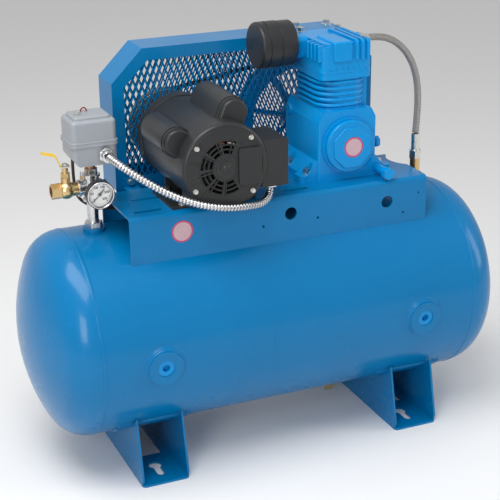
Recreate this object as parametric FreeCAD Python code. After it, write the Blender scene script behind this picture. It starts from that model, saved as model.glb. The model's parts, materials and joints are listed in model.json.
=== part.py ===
import FreeCAD, Part
import math
import os

os.makedirs("parts", exist_ok=True)

# Belt-driven electric air compressor on a horizontal receiver. Millimetres.
# X runs along the tank to the pump end, Y away from the service side, Z up.
# The origin is on the floor, below the middle of the tank.

# ---- receiver ----
tank_r = 203.2
tank_wall = 3.5
tank_half = 392.9
tank_z = 267.5
crown_r = 365.8
knuckle_r = 70.3
socket_r = 34.0
socket_bore = 17.0
socket_height = 7.0
front_socket_x = 276.0
front_socket_drop = 11.0
drain_x = 168.0

# ---- feet ----
foot_x = 276.0
foot_width = 96.0
foot_plate = 4.5
foot_web = 4.0
foot_half_depth = 186.8
foot_slope = 34.0
pad_width = 145.0
pad_thick = 3.5
pad_half_angle = 42.6
foot_slot_y = 152.0
foot_slot_r = 7.0
foot_slot_length = 34.0
foot_keyhole_r = 13.0

# ---- platform ----
deck_left = -307.0
deck_right = 320.0
deck_front = -118.8
deck_rear = 50.0
deck_z = 525.0
deck_sheet = 4.0
deck_bend = 9.0
notch_r = 60.0

# ---- belt guard ----
guard_left = -255.5
guard_right = 317.0
guard_front = 118.0
guard_depth = 84.0
guard_top = 784.0
guard_floor = 501.0
guard_drop = 446.0
guard_drop_left = -14.0
guard_chamfer = 65.0
guard_border = 25.0
guard_sheet = 1.6
mesh_sheet = 1.2
mesh_lap = 6.0

# ---- drive ----
belt_y = 162.0
crank_x = 165.5
crank_z = 595.0
flywheel_r = 140.0
pulley_r = 75.0
belt_top = 13.0
belt_depth = 8.0
belt_seat = 4.0
sheave_width = 26.0

# ---- motor ----
motor_x = -132.0
shaft_height = 88.9
motor_r = 82.5
motor_wall = 3.0
bell_r = 84.0
bell_wall = 5.0
motor_front = -165.0
motor_rear = 95.0
bell_front_depth = 45.0
bell_rear_depth = 33.0
shaft_r = 7.94
fit = 0.04
air_gap = 1.0
rotor_r = 44.0
stator_bore = rotor_r + air_gap
cap_half = 26.0
cap_front = -128.0
caps = ((69.0, 96.0, 22.0), (150.0, 89.0, 4.0))
cap_wall = 1.6
can_r = 13.5
can_rise = 9.4
box_left = -74.0
box_right = -5.0
box_front = -158.0
box_rear = -62.0
box_low = 564.0
box_high = 652.0
box_wall = 2.0

# ---- pump ----
case_left = 102.0
case_right = 229.0
case_front = -70.0
case_rear = 85.0
case_wall = 7.0
case_top = 665.0
base_thick = 12.0
base_reach = 24.0
lug_reach = 38.0
lug_depth = 30.0
flange_half = 51.5
bore_r = 28.0
cylinder_y = (-28.0, 42.0)
crank_throw = 20.0
rod_length = 102.0
pin_r = 10.0
journal_r = 12.5
web_r = 35.0
web_thick = 8.0
pin_width = 16.0
block_top = 738.0
block_left = 110.0
block_right = 221.0
block_front = -64.0
block_rear = 82.0
fin_count = 5
fin_pitch = 11.2
fin_thick = 7.4
fin_gap = 3.8
fin_round = 3.0
collar_height = 12.0
spigot_height = 4.0
plate_thick = 6.0
head_height = 58.0
side_rib = 6.5
side_rib_pitch = 16.0
side_rib_count = 4
side_slot = 5.0
top_rib = 6.5
top_rib_pitch = 12.5
piston_clearance = 0.05

# ---- air filter ----
filter_y = 38.0
filter_z = 785.0
filter_r = 45.0
filter_left = 14.0
filter_split = 57.0
filter_right = 90.0

# ---- left-hand pipework ----
stack_x = -340.5
cross_z = 558.0
pipe_r = 10.7
pipe_bore = 7.8
cross_r = 15.0
switch_left = -383.0
switch_right = -296.0
switch_front = -35.0
switch_rear = 40.0
switch_low = 609.0
switch_seam = 652.0
switch_top = 701.0
switch_slant_high = 19.0
switch_slant_wide = 13.0
switch_step = 6.0
gauge_y = -60.0
gauge_r = 27.0
valve_end = -419.0
stem_x = -390.0
outlet_r = 10.3
outlet_depth = 15.0
lever_z = 603.0

# ---- discharge line ----
valve_x = 361.0
hose_d = 14.0
conduit_d = 15.0

X = FreeCAD.Vector(1, 0, 0)
Y = FreeCAD.Vector(0, 1, 0)
Z = FreeCAD.Vector(0, 0, 1)
ORIGIN = FreeCAD.Vector(0, 0, 0)
motor_z = deck_z + shaft_height
block_mid_x = (block_left + block_right) / 2.0
head_base = block_top + plate_thick
head_top = head_base + head_height
volumes = {}


def point(x, y, z):
    return FreeCAD.Vector(x, y, z)


def block(x0, x1, y0, y1, z0, z1):
    return Part.makeBox(x1 - x0, y1 - y0, z1 - z0, point(x0, y0, z0))


def rod(radius, start, axis, length):
    return Part.makeCylinder(radius, length, start, axis)


def ring(outer, inner, start, axis, length):
    return rod(outer, start, axis, length).cut(rod(inner, start - axis, axis, length + 2.0))


def prism(points, depth):
    wire = Part.makePolygon(points + [points[0]])
    return Part.Face(wire).extrude(depth)


def hexagon(across, centre, axis, length, sides=6, turn=0.0):
    across_axis = Z if abs(axis.z) < 0.5 else X
    radius = across / 2.0 / math.cos(math.pi / sides)
    first = across_axis * radius
    corners = []
    for index in range(sides):
        spin = FreeCAD.Rotation(axis, turn + index * 360.0 / sides)
        corners.append(centre + spin.multVec(first))
    return prism(corners, axis * length)


def hex_bolt(across, shank_r, seat, axis, shank, washer_r):
    washer = rod(washer_r, seat, axis, 1.6)
    head = hexagon(across, seat + axis * 1.6, axis, across * 0.62)
    tail = rod(shank_r, seat - axis * shank, axis, shank)
    return washer.fuse(head).fuse(tail)


def rounded(shape, radius, picks):
    edges = []
    for edge in shape.Edges:
        middle = edge.CenterOfMass
        if picks(edge, middle):
            edges.append(edge)
    return shape.makeFillet(radius, edges)


def runs_along(edge, axis):
    if not isinstance(edge.Curve, (Part.Line, Part.LineSegment)):
        return False
    ends = edge.Vertexes
    if len(ends) < 2:
        return False
    way = ends[1].Point - ends[0].Point
    return way.cross(axis).Length < 0.001 * way.Length


def save(name, *shapes):
    solids = []
    for shape in shapes:
        solids.extend(shape.Solids)
    whole = solids[0] if len(solids) == 1 else Part.makeCompound(solids)
    whole.exportStep("parts/" + name + ".step")
    volumes[name] = sum(solid.Volume for solid in solids)


def clear_of(shape, *others):
    """The shape with the room that its neighbours take cut out of it."""
    for other in others:
        shape = shape.cut(other)
    return shape


def hose(radius, corners, share=0.45):
    """Straight runs joined by tangent arcs, swept by a circle."""
    edges = []
    last = corners[0]
    for index in range(1, len(corners) - 1):
        back = corners[index - 1] - corners[index]
        ahead = corners[index + 1] - corners[index]
        trim = share * min(back.Length, ahead.Length)
        turn = math.pi - back.getAngle(ahead)
        bend = trim / math.tan(turn / 2.0)
        back.normalize()
        ahead.normalize()
        start = corners[index] + back * trim
        end = corners[index] + ahead * trim
        inward = back + ahead
        inward.normalize()
        middle = corners[index] + inward * (bend / math.cos(turn / 2.0) - bend)
        edges.append(Part.LineSegment(last, start).toShape())
        edges.append(Part.Arc(start, middle, end).toShape())
        last = end
    edges.append(Part.LineSegment(last, corners[-1]).toShape())
    start_way = corners[1] - corners[0]
    profile = Part.Wire([Part.Circle(corners[0], start_way, radius).toShape()])
    return Part.Wire(edges).makePipeShell([profile], True, False)


# ---------------- receiver ----------------

def head_profile(offset):
    """Half profile of a dished end, in X (outwards) and Z (radius)."""
    crown = crown_r - offset
    knuckle = knuckle_r - offset
    back = math.sqrt((crown_r - knuckle_r) ** 2 - (tank_r - knuckle_r) ** 2)
    lean = math.atan2(tank_r - knuckle_r, back)
    join = point(-back + crown * math.cos(lean), 0, crown * math.sin(lean))
    half = (math.pi / 2.0 + lean) / 2.0
    knuckle_mid = point(knuckle * math.cos(half), 0, tank_r - knuckle_r + knuckle * math.sin(half))
    crown_mid = point(-back + crown * math.cos(lean / 2.0), 0, crown * math.sin(lean / 2.0))
    rim = point(0, 0, tank_r - offset)
    nose = point(-back + crown, 0, 0)
    edges = [
        Part.Arc(rim, knuckle_mid, join).toShape(),
        Part.Arc(join, crown_mid, nose).toShape(),
        Part.LineSegment(nose, ORIGIN).toShape(),
        Part.LineSegment(ORIGIN, rim).toShape(),
    ]
    return Part.Face(Part.Wire(edges))


def tank_head(side):
    outer = head_profile(0.0).revolve(ORIGIN, X, 360)
    inner = head_profile(tank_wall).revolve(ORIGIN, X, 360)
    dish = outer.cut(inner)
    if side < 0:
        dish.rotate(ORIGIN, Z, 180)
    dish.translate(point(side * tank_half, 0, tank_z))
    return dish


def socket_places():
    """Centre on the tank axis and outward direction of every welded socket."""
    lean = math.asin(front_socket_drop / tank_r)
    outward = point(0, -math.cos(lean), -math.sin(lean))
    return [
        (stack_x, Z, socket_r * 0.62, 12.0),
        (valve_x, Z, socket_r * 0.55, 12.0),
        (-front_socket_x, outward, socket_r, socket_bore),
        (front_socket_x, outward, socket_r, socket_bore),
        (drain_x, Z * -1.0, socket_r * 0.5, 9.0),
    ]


def tank_shell():
    shell = ring(tank_r, tank_r - tank_wall, point(-tank_half, 0, tank_z), X, 2.0 * tank_half)
    for place_x, outward, outer, bore in socket_places():
        shell = shell.cut(rod(bore, point(place_x, 0, tank_z), outward, tank_r + 20.0))
    return shell


def tank_sockets():
    core = rod(tank_r, point(-tank_half, 0, tank_z), X, 2.0 * tank_half)
    sockets = []
    for place_x, outward, outer, bore in socket_places():
        collar = ring(outer, bore, point(place_x, 0, tank_z), outward, tank_r + socket_height)
        collar = collar.cut(core)
        sockets.append(max(collar.Solids, key=lambda solid: solid.Volume))
    return sockets


def port_plugs():
    plugs = []
    for place_x, outward, outer, bore in socket_places()[2:4]:
        centre = point(place_x, 0, tank_z)
        body = rod(bore - 0.02, centre + outward * (tank_r - 8.0), outward, 8.0 + socket_height - 2.0)
        recess = hexagon(14.0, centre + outward * (tank_r - 3.0), outward, 20.0)
        plugs.append(body.cut(recess))
    return plugs


def tank_pad(side):
    inner = tank_r
    outer = tank_r + pad_thick
    left = side * foot_x - pad_width / 2.0 + side * 4.0
    saddle = ring(outer, inner, point(left, 0, tank_z), X, pad_width)
    reach = outer + 10.0
    half = math.radians(pad_half_angle)
    wedge = prism([
        point(left - 1, 0, tank_z),
        point(left - 1, -reach * math.tan(half), tank_z - reach),
        point(left - 1, reach * math.tan(half), tank_z - reach),
    ], point(pad_width + 2, 0, 0))
    return saddle.common(wedge)


def foot_slot(side_y, centre_x):
    """Keyhole slot: a round clearance end and a narrow end towards the edge."""
    inner_y = side_y * (foot_slot_y - foot_slot_length)
    outer_y = side_y * foot_slot_y
    low = -1.0
    tall = foot_plate + 2.0
    hole = rod(foot_keyhole_r, point(centre_x, inner_y, low), Z, tall)
    end = rod(foot_slot_r, point(centre_x, outer_y, low), Z, tall)
    y0 = min(inner_y, outer_y)
    y1 = max(inner_y, outer_y)
    neck = block(centre_x - foot_slot_r, centre_x + foot_slot_r, y0, y1, low, low + tall)
    return hole.fuse(end).fuse(neck)


def foot(side):
    centre = side * foot_x
    left = centre - foot_width / 2.0
    right = centre + foot_width / 2.0
    deep = foot_half_depth
    plate = block(left, right, -deep, deep, 0, foot_plate)
    plate = rounded(plate, 8.0, lambda edge, middle: runs_along(edge, Z))
    window = block(left + 20.0, right - 20.0, -76.0, 76.0, -1.0, foot_plate + 1.0)
    plate = plate.cut(window).cut(foot_slot(-1, centre)).cut(foot_slot(1, centre))
    cradle_r = tank_r + pad_thick
    webs = []
    for web_left in (left, right - foot_web):
        outline = [
            point(web_left, -deep + 6.0, foot_plate),
            point(web_left, -deep + 2.0, 16.0),
            point(web_left, -deep + foot_slope, 152.0),
            point(web_left, deep - foot_slope, 152.0),
            point(web_left, deep - 2.0, 16.0),
            point(web_left, deep - 6.0, foot_plate),
        ]
        web = prism(outline, X * foot_web)
        web = web.cut(rod(cradle_r, point(web_left - 1, 0, tank_z), X, foot_web + 2))
        webs.append(web)
    return plate.fuse(webs[0]).fuse(webs[1])


# ---------------- platform ----------------

def platform():
    wide = deck_right - deck_left
    outer = block(deck_left, deck_right, deck_front, deck_rear, tank_z, deck_z)
    outer = rounded(outer, deck_bend, lambda edge, middle: runs_along(edge, X) and middle.z > deck_z - 1)
    inner = block(deck_left - 1, deck_right + 1, deck_front + deck_sheet, deck_rear - deck_sheet,
                  tank_z - 1, deck_z - deck_sheet)
    inner = rounded(inner, deck_bend - deck_sheet,
                    lambda edge, middle: runs_along(edge, X) and middle.z > tank_z)
    deck = outer.cut(inner)
    deck = deck.cut(rod(tank_r, point(deck_left - 1, 0, tank_z), X, wide + 2))
    deck = deck.cut(rod(notch_r, point(valve_x, 6.0, deck_z - 30), Z, 40))
    for hole_x, hole_z, hole_r in ((20, 488, 12.5), (231, 481, 12.5)):
        deck = deck.cut(rod(hole_r, point(hole_x, deck_front - 2, hole_z), Y, 10))
    for hole_x, hole_z in ((-38, 470), (78, 471), (268, 454), (302, 491)):
        deck = deck.cut(rod(2.5, point(hole_x, deck_front - 2, hole_z), Y, 10))
    for slot_left, slot_y in ((-270, -20), (-287, -88), (14, -90)):
        deck = deck.cut(block(slot_left, slot_left + 54, slot_y - 5, slot_y + 5, deck_z - 6, deck_z + 2))
    return deck.cut(pump_bolt_holes())


# ---------------- belt guard ----------------

def guard_outline(inset, y):
    left = guard_left + inset
    right = guard_right - inset
    top = guard_top - inset
    corner = guard_chamfer - inset * (2.0 - math.sqrt(2.0))
    corners = [
        (left, guard_floor + inset),
        (left, top - corner),
        (left + corner, top),
        (right - corner, top),
        (right, top - corner),
        (right, guard_drop + inset),
        (guard_drop_left + inset, guard_drop + inset),
        (guard_drop_left + inset, guard_floor + inset),
    ]
    return [point(x, y, z) for x, z in corners]


def guard_plate(y, thick):
    return prism(guard_outline(0.0, y), Y * thick)


def guard_frame(y, thick):
    opening = prism(guard_outline(guard_border, y - 1), Y * (thick + 2))
    return guard_plate(y, thick).cut(opening)


def guard_shell():
    """Rear half: rear border with the rim that wraps the sides."""
    rear = guard_front + guard_depth
    seam = guard_front + guard_sheet
    rim = guard_plate(seam, guard_depth - guard_sheet)
    inside = prism(guard_outline(guard_sheet, seam - 1), Y * (guard_depth + 1 - 2 * guard_sheet))
    window = prism(guard_outline(guard_border, rear - 5), Y * 10)
    return rim.cut(inside).cut(window)


def guard_mesh():
    inset = guard_border - mesh_lap
    front = prism(guard_outline(inset, guard_front + guard_sheet), Y * mesh_sheet)
    for hole_x, hole_z, hole_r in ((motor_x, motor_z, 30.0), (crank_x, crank_z, 36.0)):
        front = front.cut(rod(hole_r, point(hole_x, guard_front, hole_z), Y, 10))
    rear_y = guard_front + guard_depth - guard_sheet - mesh_sheet
    return [front, prism(guard_outline(inset, rear_y), Y * mesh_sheet)]


def guard_brackets():
    """Flat arms from the platform's rear apron to the guard's front border."""
    arms = []
    for arm_x in (-240.0, 275.0):
        arm = block(arm_x, arm_x + 30, deck_rear, guard_front, guard_floor + 2, guard_floor + 6)
        ears = block(arm_x, arm_x + 30, guard_front - 3, guard_front, guard_floor + 2, guard_floor + 24)
        tab = block(arm_x, arm_x + 30, deck_rear, deck_rear + 3, guard_floor - 22, guard_floor + 6)
        arms.append(arm.fuse(ears).fuse(tab))
    return arms


def guard_bolts():
    bolts = []
    for bolt_x in (-225.0, 290.0):
        seat = point(bolt_x, guard_front - 3, guard_floor + 16)
        bolts.append(hex_bolt(10.0, 3.0, seat, Y * -1.0, 4.0, 7.0))
    for bolt_x in (166.0, 236.0):
        seat = point(bolt_x, guard_front + guard_depth * 0.62, guard_top)
        bolts.append(hex_bolt(13.0, 4.0, seat, Z, 6.0, 11.0))
    return bolts


# ---------------- belt drive ----------------

def sheave(radius, centre):
    """Grooved rim blank: a disc with a V groove for the belt."""
    half = sheave_width / 2.0
    floor_r = radius - belt_depth - belt_seat
    top = belt_top / 2.0 + 1.0
    low = belt_top / 2.0 - 1.3
    profile = [
        point(0, -half, 0),
        point(0, -half, radius),
        point(0, -top, radius),
        point(0, -low, floor_r),
        point(0, low, floor_r),
        point(0, top, radius),
        point(0, half, radius),
        point(0, half, 0),
    ]
    blank = Part.Face(Part.makePolygon(profile + [profile[0]])).revolve(ORIGIN, Y, 360)
    blank.translate(centre)
    return blank


def flywheel():
    centre = point(crank_x, belt_y, crank_z)
    start = centre - Y * (sheave_width / 2.0 + 6)
    wide = sheave_width + 12
    rim_inner = flywheel_r - 32.0
    hub_r = 34.0
    wheel = sheave(flywheel_r, centre)
    wheel = wheel.cut(rod(rim_inner, start, Y, wide))
    wheel = wheel.fuse(rod(hub_r, start + Y * 2, Y, wide - 4))
    for index in range(8):
        blade = block(crank_x + hub_r - 4, crank_x + rim_inner + 2, -7, 7, crank_z - 4, crank_z + 4)
        blade.rotate(point(crank_x, 0, crank_z), X, 28)
        blade.translate(Y * belt_y)
        blade.rotate(centre, Y, 13.0 + index * 45.0)
        wheel = wheel.fuse(blade)
    return wheel.cut(rod(journal_r + fit, start, Y, wide))


def motor_pulley():
    centre = point(motor_x, belt_y, motor_z)
    start = centre - Y * (sheave_width / 2.0 + 1)
    wide = sheave_width + 2
    pulley = sheave(pulley_r, centre)
    for index in range(5):
        angle = math.radians(index * 72.0)
        place = start + point(math.cos(angle) * 38, 0, math.sin(angle) * 38)
        pulley = pulley.cut(rod(13.0, place, Y, wide))
    return pulley.cut(rod(shaft_r + fit, start, Y, wide))


def belt_loop(offset, y0, y1):
    """Solid inside the loop that runs round both sheaves, offset outwards."""
    big = flywheel_r - belt_seat + offset
    small = pulley_r - belt_seat + offset
    span_x = crank_x - motor_x
    span_z = crank_z - motor_z
    span = math.hypot(span_x, span_z)
    tilt = math.atan2(span_z, span_x)
    lean = math.acos((small - big) / span)
    corners = []
    for side in (1, -1):
        angle = tilt + side * lean
        near = point(motor_x + small * math.cos(angle), y0, motor_z + small * math.sin(angle))
        far = point(crank_x + big * math.cos(angle), y0, crank_z + big * math.sin(angle))
        corners.append((near, far))
    web = prism([corners[0][0], corners[0][1], corners[1][1], corners[1][0]], Y * (y1 - y0))
    loop = web.fuse(rod(small, point(motor_x, y0, motor_z), Y, y1 - y0))
    return loop.fuse(rod(big, point(crank_x, y0, crank_z), Y, y1 - y0))


def v_belt():
    y0 = belt_y - belt_top / 2.0 + 1.6
    y1 = belt_y + belt_top / 2.0 - 1.6
    return belt_loop(0.0, y0, y1).cut(belt_loop(-belt_depth + 1.0, y0 - 1, y1 + 1))


# ---------------- motor ----------------

shell_front = motor_front + bell_front_depth
shell_rear = motor_rear - bell_rear_depth


def motor_shell():
    start = point(motor_x, shell_front, motor_z)
    return ring(motor_r, motor_r - motor_wall, start, Y, shell_rear - shell_front)


def bell_cup(depth):
    """End bell open at +Y, with its closed face at Y zero."""
    cup = rod(bell_r, ORIGIN, Y, depth)
    cup = cup.makeFillet(7.0, [edge for edge in cup.Edges if abs(edge.CenterOfMass.y) < 0.01])
    cup = cup.cut(rod(motor_r - motor_wall, Y * bell_wall, Y, depth))
    return cup


def bearing_housing(depth):
    return ring(24.0, 17.5, Y * (bell_wall - 1), Y, depth)


def vent(cup, inner, outer, start, sweep):
    """One curved cooling slot through the face of a bell."""
    wedge = [ORIGIN - Y]
    for share in (0.0, 0.5, 1.0):
        angle = math.radians(start + sweep * share)
        wedge.append(point(outer * 1.6 * math.cos(angle), -1, outer * 1.6 * math.sin(angle)))
    sector = prism(wedge, Y * (bell_wall + 12))
    band = ring(outer, inner, ORIGIN - Y, Y, bell_wall + 12)
    return cup.cut(band.common(sector))


def motor_bell_front():
    cup = bell_cup(bell_front_depth)
    cup = cup.fuse(bearing_housing(16.0))
    cup = cup.fuse(rod(13.0, Y * -4.0, Y, 6.0))
    for inner, outer in ((27.0, 33.5), (36.5, 42.0), (45.0, 50.5)):
        for index in range(6):
            cup = vent(cup, inner, outer, 66 + index * 40, 33)
    cup.translate(point(motor_x, motor_front, motor_z))
    return cup


def motor_bell_rear():
    cup = bell_cup(bell_rear_depth)
    cup = cup.fuse(bearing_housing(16.0))
    for index in range(8):
        cup = vent(cup, 40.0, 62.0, index * 45, 28)
    cup = cup.cut(rod(shaft_r + 1.0, Y * -5, Y, 20))
    cup.rotate(ORIGIN, Z, 180)
    cup.translate(point(motor_x, motor_rear, motor_z))
    return cup


def stator():
    start = point(motor_x, shell_front + 40, motor_z)
    return ring(motor_r - motor_wall, stator_bore, start, Y, 84)


def rotor():
    body = rod(rotor_r, point(motor_x, shell_front + 40, motor_z), Y, 84)
    fan = rod(30.0, point(motor_x, shell_front + 26, motor_z), Y, 6)
    for index in range(8):
        blade = block(motor_x + 14, motor_x + 42, shell_front + 14, shell_front + 30,
                      motor_z - 1.5, motor_z + 1.5)
        blade.rotate(point(motor_x, 0, motor_z), Y, index * 45)
        fan = fan.fuse(blade)
    hub = rod(16.0, point(motor_x, shell_front + 24, motor_z), Y, 18)
    whole = body.fuse(fan).fuse(hub)
    return whole.cut(rod(shaft_r + fit, point(motor_x, shell_front, motor_z), Y, 200))


def motor_shaft():
    start = motor_front + bell_wall + 1.0
    return rod(shaft_r, point(motor_x, start, motor_z), Y, belt_y + sheave_width / 2.0 + 2.0 - start)


def bearing(centre, shaft, outer, wide):
    inner = ring(shaft + 4.0, shaft + fit, centre, Y, wide)
    race = ring(outer, outer - 4.0, centre, Y, wide)
    middle = (shaft + outer) / 2.0
    ball_r = (outer - shaft - 8.0) / 2.0 + 0.2
    parts = [inner, race]
    for index in range(8):
        angle = math.radians(index * 45.0)
        offset = point(middle * math.cos(angle), wide / 2.0, middle * math.sin(angle))
        parts.append(Part.makeSphere(ball_r, centre + offset))
    return parts


def ball_bearings():
    """Two bearings on the motor shaft and two on the crankshaft."""
    parts = []
    for place_y in (motor_front + 6.0, motor_rear - bell_wall - 12.0):
        parts.extend(bearing(point(motor_x, place_y, motor_z), shaft_r, 17.5, 11))
    for place_y, outer_r in ((case_front - 4.0, 22.0), (case_rear - 6.0, 24.0)):
        parts.extend(bearing(point(crank_x, place_y, crank_z), journal_r, outer_r, 12))
    return parts


def motor_base():
    left = motor_x - 85.0
    right = motor_x + 85.0
    plate = block(left, right, -103, 8, deck_z, deck_z + 5)
    slots = []
    for slot_x in (left + 14, right - 34):
        for slot_y in (-92, -8):
            slots.append(block(slot_x, slot_x + 20, slot_y - 5, slot_y + 5, deck_z - 1, deck_z + 6))
    for slot in slots:
        plate = plate.cut(slot)
    core = rod(motor_r, point(motor_x, -110, motor_z), Y, 130)
    for rib_y in (-100, -4):
        rib = block(motor_x - 62, motor_x + 62, rib_y, rib_y + 5, deck_z + 4, deck_z + 62)
        plate = plate.fuse(rib.cut(core))
    return plate


def motor_fixings():
    screws = []
    for angle in (47, 143, 211, 316):
        way = math.radians(angle)
        seat = point(motor_x + 72 * math.cos(way), motor_front, motor_z + 72 * math.sin(way))
        screws.append(hex_bolt(7.0, 2.5, seat, Y * -1.0, 30.0, 4.6))
    for bolt_x in (motor_x - 61, motor_x + 61):
        for bolt_y in (-92, -8):
            seat = point(bolt_x, bolt_y, deck_z + 5)
            screws.append(hex_bolt(12.0, 3.9, seat, Z, 16.0, 8.5))
    return screws


def capacitor_blank(half, front, rear, nose):
    """D-section tunnel along Y, standing on the X axis at the origin."""
    body = block(-half, half, front, rear, -40, 0).fuse(rod(half, point(0, front, 0), Y, rear - front))
    body = body.removeSplitter()
    if nose > 0:
        ends = [edge for edge in body.Edges if abs(edge.BoundBox.YMax - front) < 0.01]
        body = body.makeFillet(nose, ends)
    return body


def place_on_motor(shape, angle, offset):
    shape.translate(Z * offset)
    shape.rotate(ORIGIN, Y, 90 - angle)
    shape.translate(point(motor_x, 0, motor_z))
    return shape


def capacitor_covers():
    covers = []
    core = rod(motor_r, point(motor_x, cap_front - 5, motor_z), Y, 200)
    core = core.fuse(rod(bell_r, point(motor_x, motor_front, motor_z), Y, bell_front_depth))
    for angle, offset, rear in caps:
        body = capacitor_blank(cap_half, cap_front, rear, 5.0)
        body = body.fuse(capacitor_blank(cap_half + 1.4, cap_front + 9, rear - 2, 0))
        body = body.fuse(capacitor_blank(cap_half + 2.8, cap_front + 18, rear - 4, 0))
        hollow = capacitor_blank(cap_half - cap_wall, cap_front + cap_wall, rear - cap_wall, 0)
        cover = place_on_motor(body.cut(hollow), angle, offset).cut(core)
        covers.append(max(cover.Solids, key=lambda solid: solid.Volume))
    return covers


def capacitors():
    cans = []
    for angle, offset, rear in caps:
        can = rod(can_r, point(0, cap_front + 16, can_rise), Y, 84)
        for side in (-1, 1):
            can = can.fuse(rod(2.5, point(side * 6, cap_front + 8, can_rise), Y, 9))
        cans.append(place_on_motor(can, angle, offset))
    return cans


def junction_box():
    outer = block(box_left, box_right, box_front + 3, box_rear, box_low, box_high)
    inner = block(box_left + box_wall, box_right - box_wall, box_front + 2, box_rear - box_wall,
                  box_low + box_wall, box_high - box_wall)
    core = rod(bell_r, point(motor_x, box_front - 10, motor_z), Y, 130)
    tub = outer.cut(inner).cut(core)
    lid = block(box_left + 16, box_right + 1, box_front, box_front + 3, box_low - 1, box_high + 1)
    lid = lid.cut(core)
    return [max(tub.Solids, key=lambda solid: solid.Volume), max(lid.Solids, key=lambda solid: solid.Volume)]


# ---------------- pump ----------------

def pump_feet():
    """Centres of the four hold-down studs."""
    feet = []
    for foot_side in (case_left - 16, case_right + 16):
        for foot_y in (case_front + 20, deck_rear - 22):
            feet.append((foot_side, foot_y))
    return feet


def pump_bolt_holes():
    holes = []
    for bolt_x, bolt_y in pump_feet():
        holes.append(rod(5.0, point(bolt_x, bolt_y, deck_z - 10), Z, 20))
    return Part.makeCompound(holes)


def crankcase():
    shoulder = 22.0
    mid = (case_left + case_right) / 2.0
    outline = [
        point(case_left, case_front, deck_z),
        point(case_left, case_front, case_top - shoulder),
        point(mid - flange_half, case_front, case_top),
        point(mid + flange_half, case_front, case_top),
        point(case_right, case_front, case_top - shoulder),
        point(case_right, case_front, deck_z),
    ]
    body = prism(outline, Y * (case_rear - case_front))
    body = rounded(body, 5.0, lambda edge, middle: runs_along(edge, Z))
    skirt = prism([
        point(case_left - base_reach, case_front + 4, deck_z),
        point(case_left - base_reach, case_front + 4, deck_z + base_thick),
        point(case_left, case_front + 4, deck_z + 42),
        point(case_right, case_front + 4, deck_z + 42),
        point(case_right + base_reach, case_front + 4, deck_z + base_thick),
        point(case_right + base_reach, case_front + 4, deck_z),
    ], Y * (case_rear - case_front - 8))
    body = body.fuse(skirt)
    for lug_x, lug_y in pump_feet():
        way = -1 if lug_x < mid else 1
        edge_x = lug_x - way * 16
        tip_x = lug_x + way * (lug_reach - 16)
        lug = block(min(edge_x, tip_x), max(edge_x, tip_x), lug_y - lug_depth / 2.0,
                    lug_y + lug_depth / 2.0, deck_z, deck_z + base_thick + 3)
        lug = rounded(lug, 7.0, lambda edge, middle: runs_along(edge, Z))
        pocket = rod(11.0, point(lug_x, lug_y, deck_z + base_thick + 3), Z, 40)
        body = body.fuse(lug).cut(pocket)
    hollow = block(case_left + case_wall, case_right - case_wall, case_front + case_wall,
                   case_rear - case_wall, deck_z + case_wall, case_top - 24)
    body = body.cut(hollow)
    for bore_y in cylinder_y:
        body = body.cut(rod(bore_r + 4.0, point(crank_x, bore_y, case_top - 30), Z, 40))
    breather = rod(13.0, point(case_left - 4, case_rear - 20, case_top - 22), X, 24)
    body = body.fuse(breather.makeFillet(4.0, [edge for edge in breather.Edges if edge.CenterOfMass.x < case_left]))
    body = body.fuse(rod(56.0, point(crank_x, case_front - 6, crank_z), Y, 12))
    body = body.fuse(rod(46.0, point(crank_x, case_rear - 4, crank_z), Y, 14))
    body = body.cut(rod(38.0, point(crank_x, case_front - 10, crank_z), Y, 30))
    body = body.cut(rod(24.0, point(crank_x, case_rear - 20, crank_z), Y, 40))
    for bolt_x, bolt_y in pump_feet():
        body = body.cut(rod(5.0, point(bolt_x, bolt_y, deck_z - 1), Z, 40))
    return body


def bearing_cover():
    face = case_front - 6
    cover = rod(52.0, point(crank_x, face - 9, crank_z), Y, 9)
    cover = cover.makeFillet(3.0, [edge for edge in cover.Edges if edge.CenterOfMass.y < face - 8.9])
    cover = cover.fuse(hexagon(80.0, point(crank_x + 2, face - 13, crank_z - 2), Y, 6, 8, 22.5))
    cover = cover.fuse(rod(37.9, point(crank_x, face, crank_z), Y, 14))
    cover = cover.cut(rod(22.0, point(crank_x, face - 2, crank_z), Y, 30))
    return cover


def crankshaft():
    front = case_front + 2.0
    shaft = rod(journal_r, point(crank_x, front, crank_z), Y, belt_y + sheave_width / 2.0 + 8 - front)
    for index, centre_y in enumerate(cylinder_y):
        way = 1 if index == 0 else -1
        low = centre_y - pin_width / 2.0
        high = centre_y + pin_width / 2.0
        gap = rod(web_r + 1, point(crank_x, low, crank_z), Y, pin_width)
        shaft = shaft.cut(gap)
        shaft = shaft.fuse(rod(web_r, point(crank_x, low - web_thick, crank_z), Y, web_thick))
        shaft = shaft.fuse(rod(web_r, point(crank_x, high, crank_z), Y, web_thick))
        shaft = shaft.fuse(rod(pin_r, point(crank_x, low, crank_z + way * crank_throw), Y, pin_width))
    return shaft


def piston_height(index):
    way = 1 if index == 0 else -1
    return crank_z + way * crank_throw + rod_length


def pistons():
    result = []
    for index, centre_y in enumerate(cylinder_y):
        height = piston_height(index)
        body = rod(bore_r - piston_clearance, point(crank_x, centre_y, height - 20), Z, 38)
        body = body.cut(rod(bore_r - 5, point(crank_x, centre_y, height - 21), Z, 33))
        for groove_z in (height + 5, height + 11):
            body = body.cut(ring(bore_r + 1, bore_r - 2.2, point(crank_x, centre_y, groove_z), Z, 2.2))
        pin = rod(6.0, point(crank_x - bore_r + 2, centre_y, height), X, 2 * bore_r - 4)
        result.append(body.fuse(pin))
    return result


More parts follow.
